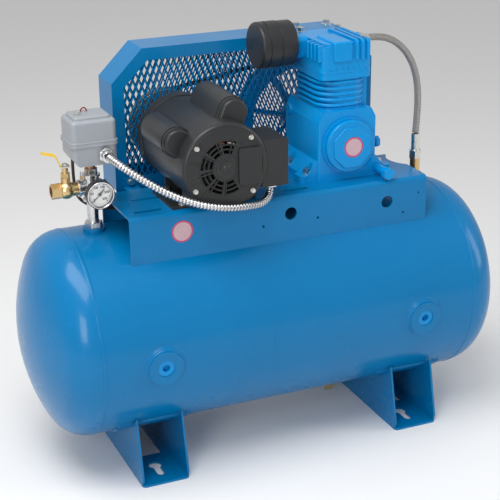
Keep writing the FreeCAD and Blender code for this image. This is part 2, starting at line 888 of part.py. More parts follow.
def connecting_rods():
    rods = []
    for index, centre_y in enumerate(cylinder_y):
        way = 1 if index == 0 else -1
        low = crank_z + way * crank_throw
        high = piston_height(index)
        wide = pin_width - 2.0
        start_y = centre_y - wide / 2.0
        big = rod(16.5, point(crank_x, start_y, low), Y, wide)
        small_centre = point(crank_x - wide / 2.0, centre_y, high)
        small = rod(10.5, small_centre, X, wide)
        shank = block(crank_x - 6, crank_x + 6, centre_y - 5, centre_y + 5, low, high)
        body = big.fuse(shank).fuse(small)
        body = body.cut(rod(pin_r + fit, point(crank_x, start_y - 1, low), Y, wide + 2))
        body = body.cut(rod(6.0, small_centre - X, X, wide + 2))
        rods.append(body)
    return rods


def rounded_plan(x0, x1, y0, y1, z0, z1, radius):
    body = block(x0, x1, y0, y1, z0, z1)
    return rounded(body, radius, lambda edge, middle: runs_along(edge, Z))


def cylinder_block():
    core = rounded_plan(block_left + 10, block_right - 6, block_front + 5, block_rear - 5,
                        case_top, block_top, 36.0)
    collar_low = block_top - collar_height
    collar = rounded_plan(block_left, block_right, block_front, block_rear, collar_low, block_top, 16.0)
    spigot = rounded_plan(block_left + 4, block_right - 4, block_front + 3, block_rear - 3,
                          case_top, case_top + spigot_height, 38.0)
    core = core.fuse([collar, spigot])
    for index in range(fin_count):
        top = collar_low - fin_gap - index * fin_pitch
        fin = rounded_plan(block_left + 1, block_right - 4, block_front + 2, block_rear - 2,
                           top - fin_thick, top, 38.0)
        rims = [edge for edge in fin.Edges if not runs_along(edge, Z)]
        core = core.fuse(fin.makeFillet(fin_round, rims))
    core = core.fuse(block(block_right - 16, block_right - 2, -44, 62, case_top, block_top))
    for bore_y in cylinder_y:
        core = core.cut(rod(bore_r, point(crank_x, bore_y, case_top - 1), Z, 100))
    return core


def valve_plate():
    plate = rounded_plan(block_left, block_right, block_front, block_rear, block_top, head_base, 14.0)
    for port_y in cylinder_y:
        for port_x in (crank_x - 14, crank_x + 14):
            plate = plate.cut(rod(5.0, point(port_x, port_y, block_top - 1), Z, 20))
    return plate


def cylinder_head():
    low = head_base
    core = rounded_plan(block_left, block_right, block_front, block_rear, low, head_top - 10, 16.0)
    crown = rounded_plan(block_left + 10, block_right - 3, block_front + 3, block_rear - 3,
                         head_top - 12, head_top - 6, 15.0)
    core = core.fuse(crown)
    rib_low = low + 18
    slots = block(block_left - 1, block_left + side_slot, block_front + 6,
                  block_front + 6 + side_rib + (side_rib_count - 1) * side_rib_pitch, rib_low, head_top)
    core = core.cut(slots)
    for index in range(side_rib_count):
        rib_y = block_front + 6 + index * side_rib_pitch
        rib = block(block_left - 4, block_left + side_slot + 6, rib_y, rib_y + side_rib, rib_low, head_top - 8)
        core = core.fuse(rounded(rib, 2.0, lambda edge, middle: middle.x < block_left - 3.9))
    for index in range(3):
        rib_x = block_mid_x + 16 + index * top_rib_pitch
        rib = block(rib_x, rib_x + top_rib, block_front - 4, block_rear - 26, rib_low, head_top)
        rib = rounded(rib, 9.0, lambda edge, middle: runs_along(edge, X) and middle.z > head_top - 1)
        core = core.fuse(rib)
    pad = block(block_mid_x - 30, block_mid_x + 10, block_front - 4, 14, rib_low, head_top - 2)
    core = core.fuse(rounded(pad, 4.0, lambda edge, middle: middle.z > rib_low + 4))
    neck = block(filter_right, block_left + 8, filter_y - 27, filter_y + 25, filter_z - 30, filter_z + 14)
    core = core.fuse(rounded(neck, 10.0, lambda edge, middle: runs_along(edge, X)))
    core = core.fuse(rod(13.0, point(block_right - 6, 8, head_top - 16), X, 10))
    for chamber_left, chamber_right in ((block_left + 9, block_mid_x - 4), (block_mid_x + 4, block_right - 9)):
        core = core.cut(block(chamber_left, chamber_right, block_front + 12, block_rear - 12, low - 1, low + 26))
    core = core.cut(rod(14.0, point(block_left - 30, filter_y, filter_z - 14), X, 50))
    core = core.cut(rod(6.0, point(block_right - 20, 8, head_top - 16), X, 40))
    return core


def pump_fixings():
    parts = []
    for bolt_x, bolt_y in pump_feet():
        seat = point(bolt_x, bolt_y, deck_z + base_thick + 3)
        parts.append(hex_bolt(14.0, 4.0, seat, Z, 24.0, 9.0))
    for bolt_x, bolt_y in ((block_right - 12, block_front + 16), (block_right - 12, block_rear - 16),
                           (block_left + 20, block_rear - 12)):
        seat = point(bolt_x, bolt_y, head_top - 6)
        parts.append(hex_bolt(12.0, 3.9, seat, Z, 14.0, 8.0))
    return parts


def oil_fittings():
    drain = rod(8.5, point(case_right + 4, case_front - 42, deck_z + 14), Y, 52)
    cap = hexagon(22.0, point(case_right + 4, case_front - 52, deck_z + 14), Y, 14)
    filler = rod(7.5, point(case_right - 2, case_front + 26, deck_z + 60), X, 14)
    filler_cap = hexagon(20.0, point(case_right + 10, case_front + 26, deck_z + 60), X, 9)
    return [drain.fuse(cap), filler.fuse(filler_cap)]


# ---------------- air filter ----------------

def filter_base():
    body = rod(filter_r, point(filter_split, filter_y, filter_z), X, filter_right - filter_split)
    body = body.makeFillet(4.0, [edge for edge in body.Edges if edge.CenterOfMass.x > filter_right - 0.1])
    body = body.cut(rod(filter_r - 2.5, point(filter_split - 1, filter_y, filter_z), X,
                        filter_right - filter_split - 3))
    spout = ring(13.9, 11.0, point(filter_right - 4, filter_y, filter_z - 14), X, 22)
    body = body.cut(rod(11.0, point(filter_right - 6, filter_y, filter_z - 14), X, 20))
    return body.fuse(spout)


def filter_cover():
    long = filter_split - filter_left
    body = rod(filter_r + 1.0, point(filter_left, filter_y, filter_z), X, long)
    body = body.makeFillet(6.0, [edge for edge in body.Edges if edge.CenterOfMass.x < filter_left + 0.1])
    for groove_x in (filter_left + 16, filter_split - 3):
        body = body.cut(ring(filter_r + 3, filter_r - 0.4, point(groove_x, filter_y, filter_z), X, 2.4))
    return body.cut(rod(filter_r - 2.0, point(filter_left + 3, filter_y, filter_z), X, long))


def filter_element():
    return ring(36.0, 20.0, point(filter_left + 5, filter_y, filter_z), X, filter_right - filter_left - 10)


# ---------------- left-hand pipework ----------------

def manifold():
    foot_z = tank_z + tank_r + socket_height - 4
    bushing = hexagon(31.0, point(stack_x, 0, foot_z + 4), Z, 11)
    nipple = rod(pipe_r, point(stack_x, 0, foot_z), Z, cross_z - foot_z)
    cross = rod(cross_r, point(stack_x, 0, cross_z - 27), Z, 52)
    arms = rod(cross_r - 1, point(stack_x - 27, 0, cross_z), X, 47)
    front_arm = rod(cross_r - 2, point(stack_x, -24, cross_z), Y, 48)
    whole = bushing.fuse(nipple).fuse(cross).fuse(arms).fuse(front_arm)
    for bead_z in (cross_z - 27, cross_z + 21):
        whole = whole.fuse(rod(cross_r + 2.2, point(stack_x, 0, bead_z), Z, 5))
    whole = whole.fuse(rod(cross_r + 1.2, point(stack_x - 27, 0, cross_z), X, 5))
    upper = hexagon(22.0, point(stack_x, 0, cross_z + 25.2), Z, 12).fuse(
        rod(pipe_r - 2, point(stack_x, 0, cross_z + 20), Z, switch_low - cross_z - 20))
    bore = rod(pipe_bore, point(stack_x, 0, foot_z - 1), Z, 200)
    cross_bore = rod(pipe_bore, point(stack_x - 40, 0, cross_z), X, 54)
    whole = whole.cut(bore).cut(cross_bore)
    plug = hexagon(20.0, point(stack_x + 20, 0, cross_z), X, 9)
    stem = ring(6.5, 3.0, point(stack_x, gauge_y + 16, cross_z), Y, -gauge_y - 16 - 22)
    return [whole, upper.cut(rod(5.0, point(stack_x, 0, cross_z), Z, 100)), plug, stem]


def gauge_case():
    cup = rod(gauge_r, point(stack_x, gauge_y, cross_z), Y, 17)
    cup = cup.makeFillet(2.0, [edge for edge in cup.Edges if edge.CenterOfMass.y > gauge_y + 16.9])
    return cup.cut(rod(gauge_r - 2.5, point(stack_x, gauge_y - 1, cross_z), Y, 13))


def gauge_dial():
    return rod(gauge_r - 2.6, point(stack_x, gauge_y + 10, cross_z), Y, 1.5)


def gauge_lens():
    return rod(gauge_r - 2.6, point(stack_x, gauge_y + 1, cross_z), Y, 1.6)


def gauge_needle():
    hub = rod(3.0, point(0, gauge_y + 6.0, 0), Y, 3.0)
    blade = block(-0.7, 0.7, gauge_y + 6.6, gauge_y + 7.4, -9, gauge_r - 8)
    needle = hub.fuse(blade)
    needle.rotate(ORIGIN, Y, -135)
    needle.translate(point(stack_x, 0, cross_z))
    return needle


def ball_valve_body():
    right = stack_x - 22
    long = right - valve_end
    body = rod(13.0, point(valve_end + 16, 0, cross_z), X, long - 16)
    body = body.fuse(hexagon(27.0, point(valve_end, 0, cross_z), X, 18))
    body = body.fuse(Part.makeSphere(17.0, point(stem_x, 0, cross_z)))
    body = body.fuse(rod(9.0, point(stem_x, 0, cross_z), Z, 24))
    body = body.fuse(hexagon(15.0, point(stem_x, 0, cross_z + 24), Z, 10))
    body = body.fuse(rod(6.0, point(stem_x, 0, cross_z + 34), Z, lever_z - cross_z - 35))
    body = body.cut(rod(8.5, point(valve_end - 1, 0, cross_z), X, long + 2))
    body = body.cut(rod(outlet_r, point(valve_end - 1, 0, cross_z), X, outlet_depth + 1))
    body = body.cut(Part.makeSphere(12.0, point(stem_x, 0, cross_z)))
    return body.cut(rod(3.5 + fit, point(stem_x, 0, cross_z), Z, 60))


def valve_ball():
    ball = Part.makeSphere(11.9, point(stem_x, 0, cross_z))
    ball = ball.fuse(rod(3.5, point(stem_x, 0, cross_z), Z, lever_z + 2.5 - cross_z))
    return ball.cut(rod(7.5, point(stem_x - 20, 0, cross_z), X, 40))


def valve_lever():
    plate = block(-9, 9, -8, 8, 0, 2.5)
    rise = prism([point(-6, -5.5, 0), point(-8.5, -5.5, 2.5), point(-18.5, -5.5, 24), point(-16, -5.5, 24)],
                 Y * 11)
    arm = prism([point(-14.9, -5.5, 21.5), point(-18.2, -5.5, 27), point(-43, -5.5, 34), point(-43, -5.5, 30)],
                Y * 11)
    nut = hexagon(9.0, point(0, 0, 2.5), Z, 4.5)
    lever = plate.fuse(rise).fuse(arm).fuse(nut)
    lever = lever.cut(rod(3.5, point(0, 0, -1), Z, 4))
    lever.translate(point(stem_x, 0, lever_z))
    return lever


def safety_valve():
    start = point(stack_x, 22, cross_z)
    body = hexagon(17.0, start, Y, 10).fuse(rod(8.0, start + Y * 10, Y, 20))
    body = body.cut(rod(3.2, start + Y * 8, Y, 40))
    return body.cut(rod(1.8, start + point(-12, 20, 0), X, 24))


def safety_ring():
    stem = rod(2.0, point(stack_x, 36, cross_z), Y, 21)
    loop = Part.makeTorus(10.0, 1.3, point(stack_x, 57 + 7.5, cross_z), X)
    return stem.fuse(loop)


def switch_base():
    tub = rounded_plan(switch_left, switch_right, switch_front, switch_rear, switch_low, switch_seam, 10.0)
    slant = prism([
        point(switch_left - 1, switch_front - 1, switch_low - 1),
        point(switch_left - 1, switch_front - 1, switch_low + switch_slant_high),
        point(switch_left + switch_slant_wide, switch_front - 1, switch_low - 1),
    ], Y * (switch_rear - switch_front + 2))
    tub = tub.cut(slant)
    lip = rounded_plan(switch_left - 2.5, switch_right + 2.5, switch_front - 2.5, switch_rear + 2.5,
                       switch_seam - 6, switch_seam, 11.0)
    hollow = rounded_plan(switch_left + switch_slant_wide + 2, switch_right - 3, switch_front + 3,
                          switch_rear - 3, switch_low + 3, switch_seam + 1, 7.0)
    upper = rounded_plan(switch_left + 3, switch_right - 3, switch_front + 3, switch_rear - 3,
                         switch_low + switch_slant_high + 4, switch_seam + 1, 7.0)
    return tub.fuse(lip).cut(hollow).cut(upper)


def switch_cover():
    shoulder = switch_top - switch_step
    lid = rounded_plan(switch_left, switch_right, switch_front, switch_rear, switch_seam, shoulder, 10.0)
    lid = lid.makeFillet(7.0, [edge for edge in lid.Edges if edge.CenterOfMass.z > shoulder - 0.01])
    step = rounded_plan(switch_left + 8, switch_right - 8, switch_front + 8, switch_rear - 8,
                        shoulder - 4, switch_top, 8.0)
    step = step.makeFillet(4.0, [edge for edge in step.Edges if edge.CenterOfMass.z > switch_top - 0.01])
    lid = lid.fuse(step)
    lip = rounded_plan(switch_left - 2.5, switch_right + 2.5, switch_front - 2.5, switch_rear + 2.5,
                       switch_seam, switch_seam + 3, 11.0)
    hollow = rounded_plan(switch_left + 3, switch_right - 3, switch_front + 3, switch_rear - 3,
                          switch_seam - 1, shoulder - 3, 7.0)
    nut = hexagon(11.0, point(switch_left + 22, -2, switch_top), Z, 7)
    return [lid.fuse(lip).cut(hollow), nut]


def unloader_tube():
    tube_x = switch_left + 15
    corners = [
        point(tube_x, 24, switch_low + 26),
        point(tube_x, 24, 570),
        point(tube_x + 4, 24, 532),
        point(tube_x + 34, 26, 508),
        point(tube_x + 84, 27, 497),
        point(valve_x - 60, 26, 494),
        point(valve_x - 20, 13, 492),
        point(valve_x - 8, 3, 491.5),
    ]
    return hose(3.0, corners)


# ---------------- discharge line and wiring ----------------

hose_route = [
    point(247, 8, 786),
    point(275, 8, 786),
    point(306, 8, 775.5),
    point(333, 8, 753.5),
    point(353, 8, 723),
    point(364, 7, 686),
    point(367, 6, 648),
    point(365, 4, 611),
    point(361, 1, 578),
]

conduit_route = [
    point(-322, -64, 630),
    point(-319, -94, 628),
    point(-303, -122, 617),
    point(-276, -147, 598),
    point(-245, -165, 579),
    point(-209, -176, 562),
    point(-170, -182, 549),
    point(-130, -182, 541),
    point(-92, -175, 537),
    point(-62, -162, 533),
    point(-41, -146, 536),
    point(-31, -133, 545),
    point(-28, -128, 557),
]


def discharge_fitting():
    start = point(block_right + 4, 8, head_top - 16)
    body = hexagon(21.0, start, X, 9).fuse(rod(8.0, start + X * 9, X, 6))
    body = body.fuse(rod(8.6, start + X * 13, X, 9))
    return body.cut(rod(5.0, start - X, X, 60))


def check_valve_body():
    foot_z = tank_z + tank_r + socket_height - 4
    body = rod(11.9, point(valve_x, 0, foot_z), Z, 6)
    body = body.fuse(hexagon(27.0, point(valve_x, 0, foot_z + 4), Z, 14))
    body = body.fuse(rod(10.5, point(valve_x, 0, foot_z + 16), Z, 34))
    body = body.fuse(hexagon(23.0, point(valve_x, 0, foot_z + 50), Z, 17))
    body = body.fuse(rod(8.6, point(valve_x, 0.5, foot_z + 66), Z, 36))
    body = body.cut(rod(8.0, point(valve_x, 0, foot_z + 4), Z, 44))
    body = body.cut(rod(4.5, point(valve_x, 0, foot_z - 1), Z, 200))
    side = hexagon(12.0, point(valve_x - 18, 0, foot_z + 24), X, 9)
    return body.fuse(side)


def check_valve_disc():
    seat_z = tank_z + tank_r + socket_height - 4 + 48
    disc = rod(7.4, point(valve_x, 0, seat_z - 4.1), Z, 4)
    return disc.fuse(rod(3.0, point(valve_x, 0, seat_z - 16), Z, 13))


def conduit_connectors():
    first = conduit_route[0]
    switch_nut = rod(11.5, point(first.x, first.y + 4, first.z), Y, 14)
    switch_body = hexagon(25.0, point(first.x, switch_front - 12, first.z), Y, 9).fuse(switch_nut)
    switch_body = switch_body.fuse(rod(9.0, point(first.x, switch_front - 4, first.z), Y, 6))
    last = conduit_route[-1]
    box_nut = hexagon(25.0, point(last.x, last.y, box_low - 9), Z, 8)
    box_nut = box_nut.fuse(rod(9.0, point(last.x, last.y, box_low - 2), Z, 7))
    return [switch_body, box_nut]


def drain_valve():
    top = tank_z - tank_r - socket_height + 4
    body = rod(8.9, point(drain_x, 0, top - 2), Z, 8)
    body = body.fuse(hexagon(17.0, point(drain_x, 0, top - 14), Z, 12))
    body = body.fuse(rod(5.0, point(drain_x, 0, top - 24), Z, 12))
    return body.cut(rod(3.0 + fit, point(drain_x, 0, top - 40), Z, 60))


def drain_handle():
    top = tank_z - tank_r - socket_height + 4
    wing = block(drain_x - 11, drain_x + 11, -1.5, 1.5, top - 38, top - 26)
    wing = rounded(wing, 4.0, lambda edge, middle: runs_along(edge, Y))
    return wing.fuse(rod(3.0, point(drain_x, 0, top - 34), Z, 28))


guard_screws = guard_bolts()
head_screws = pump_fixings()
motor_bolts = motor_fixings()
oil_plugs = oil_fittings()
crosses = manifold()
connectors = conduit_connectors()
conduit_tube = hose(conduit_d / 2.0, conduit_route)
unloader = unloader_tube()
drain = drain_valve()

save("tank_shell", tank_shell())
save("tank_heads", tank_head(-1), tank_head(1))
save("tank_sockets", *[clear_of(socket, drain) for socket in tank_sockets()])
save("tank_pads", tank_pad(-1), tank_pad(1))
save("foot_left", foot(-1))
save("foot_right", foot(1))
save("platform", clear_of(platform(), *motor_bolts))
save("guard_front", clear_of(guard_frame(guard_front, guard_sheet), *guard_screws))
save("guard_rear", clear_of(guard_shell(), *guard_screws))
save("guard_mesh", *guard_mesh())
save("guard_brackets", *[clear_of(arm, *guard_screws) for arm in guard_brackets()])
save("flywheel", flywheel())
save("motor_pulley", motor_pulley())
save("v_belt", v_belt())
save("motor_shell", motor_shell())
save("motor_bell_front", clear_of(motor_bell_front(), *motor_bolts))
save("motor_bell_rear", motor_bell_rear())
save("motor_stator", stator())
save("motor_rotor", rotor())
save("motor_shaft", motor_shaft())
save("motor_base", clear_of(motor_base(), *motor_bolts))
save("motor_screws", *motor_bolts)
save("capacitor_covers", *capacitor_covers())
save("capacitors", *capacitors())
save("junction_box", *[clear_of(shape, *connectors) for shape in junction_box()])
save("crankcase", clear_of(crankcase(), *oil_plugs))
save("bearing_cover", bearing_cover())
save("crankshaft", crankshaft())
save("ball_bearings", *ball_bearings())
save("pistons", *pistons())
save("connecting_rods", *connecting_rods())
save("cylinder_block", cylinder_block())
save("valve_plate", valve_plate())
save("cylinder_head", clear_of(cylinder_head(), *head_screws))
save("hex_bolts", *head_screws, *guard_screws)
save("pipe_plugs", *port_plugs(), *oil_plugs)
save("filter_base", filter_base())
save("filter_cover", filter_cover())
save("filter_element", filter_element())
save("manifold", *crosses)
save("gauge_case", clear_of(gauge_case(), *crosses))
save("gauge_dial", gauge_dial())
save("gauge_lens", gauge_lens())
save("gauge_needle", gauge_needle())
save("ball_valve_body", clear_of(ball_valve_body(), *crosses))
save("valve_ball", valve_ball())
save("valve_lever", valve_lever())
save("safety_valve", clear_of(safety_valve(), *crosses))
save("safety_ring", safety_ring())
save("switch_base", clear_of(switch_base(), unloader, *connectors))
save("switch_cover", *switch_cover())
save("unloader_tube", unloader)
save("discharge_fitting", discharge_fitting())
save("discharge_hose", hose(hose_d / 2.0, hose_route))
save("check_valve_body", clear_of(check_valve_body(), unloader))
save("check_valve_disc", check_valve_disc())
save("conduit", conduit_tube)
save("conduit_connectors", *[clear_of(shape, conduit_tube) for shape in connectors])
save("drain_valve", drain)
save("drain_handle", drain_handle())
print(len(volumes), "nodes")
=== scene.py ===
import json
import math

import bmesh
import bpy
from mathutils import Matrix, Vector

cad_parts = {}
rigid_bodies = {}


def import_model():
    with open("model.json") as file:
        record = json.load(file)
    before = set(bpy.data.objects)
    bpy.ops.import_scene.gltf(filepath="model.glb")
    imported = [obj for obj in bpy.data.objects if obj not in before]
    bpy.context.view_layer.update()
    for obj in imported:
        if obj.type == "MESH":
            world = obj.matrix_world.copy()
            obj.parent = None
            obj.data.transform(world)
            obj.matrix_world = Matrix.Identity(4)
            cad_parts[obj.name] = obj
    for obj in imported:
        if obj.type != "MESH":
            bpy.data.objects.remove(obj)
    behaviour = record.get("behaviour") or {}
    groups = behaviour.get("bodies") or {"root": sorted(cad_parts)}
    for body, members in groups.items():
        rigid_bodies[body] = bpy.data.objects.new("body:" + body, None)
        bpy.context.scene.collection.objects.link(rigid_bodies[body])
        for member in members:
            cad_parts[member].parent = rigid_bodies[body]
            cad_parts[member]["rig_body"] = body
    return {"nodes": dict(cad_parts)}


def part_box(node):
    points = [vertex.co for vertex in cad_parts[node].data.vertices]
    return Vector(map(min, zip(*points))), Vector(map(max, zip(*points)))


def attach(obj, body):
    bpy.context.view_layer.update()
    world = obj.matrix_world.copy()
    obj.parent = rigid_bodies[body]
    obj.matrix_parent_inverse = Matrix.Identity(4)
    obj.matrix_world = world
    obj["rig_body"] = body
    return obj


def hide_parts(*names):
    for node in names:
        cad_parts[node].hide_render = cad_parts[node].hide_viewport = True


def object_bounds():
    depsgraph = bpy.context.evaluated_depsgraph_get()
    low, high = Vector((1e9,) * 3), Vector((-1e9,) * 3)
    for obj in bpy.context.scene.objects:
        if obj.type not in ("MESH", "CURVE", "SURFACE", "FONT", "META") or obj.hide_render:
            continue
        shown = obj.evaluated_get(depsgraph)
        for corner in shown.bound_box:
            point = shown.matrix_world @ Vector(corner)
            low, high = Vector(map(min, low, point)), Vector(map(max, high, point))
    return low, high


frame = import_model()
cad_low, cad_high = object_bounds()
nodes = frame["nodes"]
scene = bpy.context.scene

# ---------------------------------------------------------------- camera
# A long lens from the left and a little above, as in a catalogue.
azimuth, elevation, roll = math.radians(-23.19), math.radians(21.11), math.radians(-0.59)
back = Vector((math.sin(azimuth) * math.cos(elevation),
               -math.cos(azimuth) * math.cos(elevation), math.sin(elevation)))
right = (-back).cross(Vector((0, 0, 1))).normalized()
up = right.cross(-back)
turned_right = right * math.cos(roll) + up * math.sin(roll)
turned_up = up * math.cos(roll) - right * math.sin(roll)
lens = bpy.data.cameras.new("camera")
lens.lens = 95.78
lens.sensor_width = 36.0
camera = bpy.data.objects.new("camera", lens)
scene.collection.objects.link(camera)
camera.matrix_world = Matrix((turned_right, turned_up, back)).transposed().to_4x4()
camera.location = (-1.00683, -2.31254, 1.34801)
scene.camera = camera

hose_diameter = 0.014
hose_route = [
    (0.247, 0.008, 0.786), (0.275, 0.008, 0.786), (0.306, 0.008, 0.7755), (0.333, 0.008, 0.7535),
    (0.353, 0.008, 0.723), (0.364, 0.007, 0.686), (0.367, 0.006, 0.648), (0.365, 0.004, 0.611),
    (0.361, 0.001, 0.578),
]
conduit_diameter = 0.015
conduit_route = [
    (-0.322, -0.064, 0.630), (-0.319, -0.094, 0.628), (-0.303, -0.122, 0.617),
    (-0.276, -0.147, 0.598), (-0.245, -0.165, 0.579), (-0.209, -0.176, 0.562),
    (-0.170, -0.182, 0.549), (-0.130, -0.182, 0.541), (-0.092, -0.175, 0.537),
    (-0.062, -0.162, 0.533), (-0.041, -0.146, 0.536), (-0.031, -0.133, 0.545),
    (-0.028, -0.128, 0.557),
]


def centreline(route, steps):
    """Points read from a smooth NURBS line with the route's points as its control points."""
    line = bpy.data.curves.new("line", "CURVE")
    line.dimensions = "3D"
    spline = line.splines.new("NURBS")
    spline.points.add(len(route) - 1)
    for place, spot in zip(spline.points, route):
        place.co = (*spot, 1.0)
    spline.order_u = 3
    spline.use_endpoint_u = True
    spline.resolution_u = steps
    holder = bpy.data.objects.new("line", line)
    mesh = bpy.data.meshes.new_from_object(holder)
    spots = [vertex.co.copy() for vertex in mesh.vertices]
    bpy.data.objects.remove(holder)
    return spots


def evenly(spots, pitch):
    """Points a fixed pitch apart on a line, and the line's whole length."""
    runs = [(b - a).length for a, b in zip(spots, spots[1:])]
    whole = sum(runs)
    count = max(2, round(whole / pitch))
    found, at, walked = [spots[0]], 0, 0.0
    for index in range(1, count):
        goal = whole * index / count
        while walked + runs[at] < goal:
            walked += runs[at]
            at += 1
        found.append(spots[at].lerp(spots[at + 1], (goal - walked) / runs[at]))
    return found + [spots[-1]], whole


def swept(name, spots, radii, sides):
    """A closed tube along a line: one circle at each spot, bridged to the next, with a UV map."""
    bm = bmesh.new()
    across = (spots[1] - spots[0]).cross(Vector((0, 0.3, 1))).normalized()
    rings = []
    for index, spot in enumerate(spots):
        ahead = spots[min(index + 1, len(spots) - 1)] - spots[max(index - 1, 0)]
        ahead.normalize()
        across = (across - ahead * across.dot(ahead)).normalized()
        side = ahead.cross(across)
        turn = Matrix((across, side, ahead)).transposed().to_4x4()
        circle = bmesh.ops.create_circle(bm, segments=sides, radius=radii[index],
                                         matrix=Matrix.Translation(spot) @ turn)
        rings.append(circle["verts"])
    uv = bm.loops.layers.uv.new("UVMap")
    place = {}
    walked = 0.0
    for index, loop in enumerate(rings):
        if index:
            walked += (spots[index] - spots[index - 1]).length
        for step, vertex in enumerate(loop):
            place[vertex] = (step / sides, walked)
    for first, second in zip(rings, rings[1:]):
        for step in range(sides):
            after = (step + 1) % sides
            face = bm.faces.new((first[step], first[after], second[after], second[step]))
            face.smooth = True
            for corner in face.loops:
                u, v = place[corner.vert]
                if after == 0 and u == 0:
                    u = 1.0
                corner[uv].uv = (u, v)
    for loop in (rings[0], rings[-1]):
        bm.faces.new(loop)
    bmesh.ops.recalc_face_normals(bm, faces=bm.faces)
    return placed(name, bm)


def placed(name, bm):
    """The bmesh as an object at the origin."""
    mesh = bpy.data.meshes.new(name)
    bm.to_mesh(mesh)
    bm.free()
    piece = bpy.data.objects.new(name, mesh)
    scene.collection.objects.link(piece)
    return piece


# ---------------------------------------------------------------- floor and light
# A pale studio: one sheet of paper on the floor, a large lamp above on the left, a second in
# front and a weak one on the right.
paper = bpy.data.materials.new("studio_paper")
paper.use_nodes = True
paper.node_tree.nodes["Principled BSDF"].inputs["Base Color"].default_value = (0.82, 0.82, 0.82, 1)
paper.node_tree.nodes["Principled BSDF"].inputs["Roughness"].default_value = 0.9
bm = bmesh.new()
bmesh.ops.create_grid(bm, x_segments=1, y_segments=1, size=14.0)
floor = placed("floor", bm)
floor.data.materials.append(paper)

world = bpy.data.worlds.new("studio")
world.use_nodes = True
world.node_tree.nodes["Background"].inputs["Color"].default_value = (1.0, 1.0, 1.0, 1)
world.node_tree.nodes["Background"].inputs["Strength"].default_value = 0.55
scene.world = world
scene.view_settings.view_transform = "Standard"
for name, place, aim, width, height, watts in (
    ("lamp_top", (-0.9, -0.5, 2.6), (0, 0, 0.4), 2.2, 1.2, 50),
    ("lamp_front", (-2.2, -2.6, 1.5), (0, 0, 0.4), 1.0, 1.6, 34),
    ("lamp_right", (2.6, -1.2, 1.4), (0, 0, 0.4), 0.8, 1.8, 18),
):
    light = bpy.data.lights.new(name, "AREA")
    light.shape = "RECTANGLE"
    light.size, light.size_y, light.energy = width, height, watts
    lamp = bpy.data.objects.new(name, light)
    scene.collection.objects.link(lamp)
    lamp.location = place
    lamp.rotation_euler = (Vector(place) - Vector(aim)).to_track_quat("Z", "Y").to_euler()


# ---------------------------------------------------------------- tank
# The receiver is rolled and welded steel plate with dished ends, sprayed in thick blue enamel.
# The spray is glossy and slightly rippled, like the skin of an orange.
class Signal:
    """A node's output. Python's own signs work on it, and each adds a Math node."""

    def __init__(self, finish, socket):
        self.finish = finish
        self.socket = socket

    def maths(self, operation, *others):
        values = dict(enumerate([self, *others]))
        return self.finish.add("ShaderNodeMath", {"operation": operation}, values)

    def __add__(self, other):
        return self.maths("ADD", other)

    def __radd__(self, other):
        return self.maths("ADD", other)

    def __sub__(self, other):
        return self.maths("SUBTRACT", other)

    def __rsub__(self, other):
        return self.finish.add("ShaderNodeMath", {"operation": "SUBTRACT"}, {0: other, 1: self})

    def __mul__(self, other):
        return self.maths("MULTIPLY", other)

    def __rmul__(self, other):
        return self.maths("MULTIPLY", other)


class Finish:
    """A material with one Principled shader, and a way to add nodes in front of it."""

    def __init__(self, name, colour, roughness, metallic=0.0, coat=0.0, coat_roughness=0.05):
        self.material = bpy.data.materials.new(name)
        self.material.use_nodes = True
        self.nodes = self.material.node_tree.nodes
        self.links = self.material.node_tree.links
        self.shader = self.nodes["Principled BSDF"]
        self.material.diffuse_color = (*colour, 1)
        self.colour = colour
        self.feed("Base Color", (*colour, 1))
        self.feed("Roughness", roughness)
        self.feed("Metallic", metallic)
        self.feed("Coat Weight", coat)
        self.feed("Coat Roughness", coat_roughness)

    def connect(self, value, socket):
        if isinstance(value, Signal):
            self.links.new(value.socket, socket)
        elif value is not None:
            socket.default_value = value

    def feed(self, socket, value):
        self.connect(value, self.shader.inputs[socket])

    def add(self, kind, settings, values, output=0):
        made = self.nodes.new(kind)
        for key, setting in settings.items():
            if key == "stops":
                ramp = made.color_ramp
                while len(ramp.elements) < len(setting):
                    ramp.elements.new(0.5)
                for element, (place, colour) in zip(ramp.elements, setting):
                    element.position = place
                    element.color = colour
            else:
                setattr(made, key, setting)
        for key, value in values.items():
            self.connect(value, made.inputs[key])
        return Signal(self, made.outputs[output])

    def place(self, kind="Object"):
        return self.add("ShaderNodeTexCoord", {}, {}, kind)

    def noise(self, scale, detail=2.0):
        values = {"Vector": self.place(), "Scale": scale, "Detail": detail}
        return self.add("ShaderNodeTexNoise", {}, values, "Fac")

    def bands(self, axis, scale):
        """Fine even bands across one axis."""
        values = {"Vector": self.place(), "Scale": scale}
        return self.add("ShaderNodeTexWave", {"bands_direction": axis}, values, "Fac")

    def blend(self, share, first, second):
        """One colour into another, by a share from 0 to 1."""
        values = {"Factor": share, 6: first, 7: second}
        return self.add("ShaderNodeMix", {"data_type": "RGBA"}, values, 2)

    def bump(self, height, depth):
        values = {"Height": height, "Distance": depth, "Strength": 1.0}
        self.feed("Normal", self.add("ShaderNodeBump", {}, values, "Normal"))


def shade(colour, share):
    return (colour[0] * share, colour[1] * share, colour[2] * share, 1)


def enamel(name, colour, roughness=0.26, ripple=0.00005, pits=0.0):
    """Sprayed paint: a clear gloss over colour, rippled, a little uneven, with dust in places."""
    paint = Finish(name, colour, roughness, coat=0.16, coat_roughness=0.06)
    paint.feed("Specular IOR Level", 0.2)
    cloud = paint.noise(4.0, 3.0)
    paint.feed("Base Color", paint.blend(cloud, shade(colour, 0.88), shade(colour, 1.12)))
    paint.feed("Roughness", roughness + paint.noise(11.0, 4.0) * 0.16 - 0.08)
    height = paint.noise(260.0, 1.0)
    if pits:
        height = height + paint.noise(90.0, 3.0) * pits
    paint.bump(height, ripple)
    return paint.material


tank_colour = (0.0, 0.155, 0.375)
tank_blue = enamel("tank_blue", tank_colour)


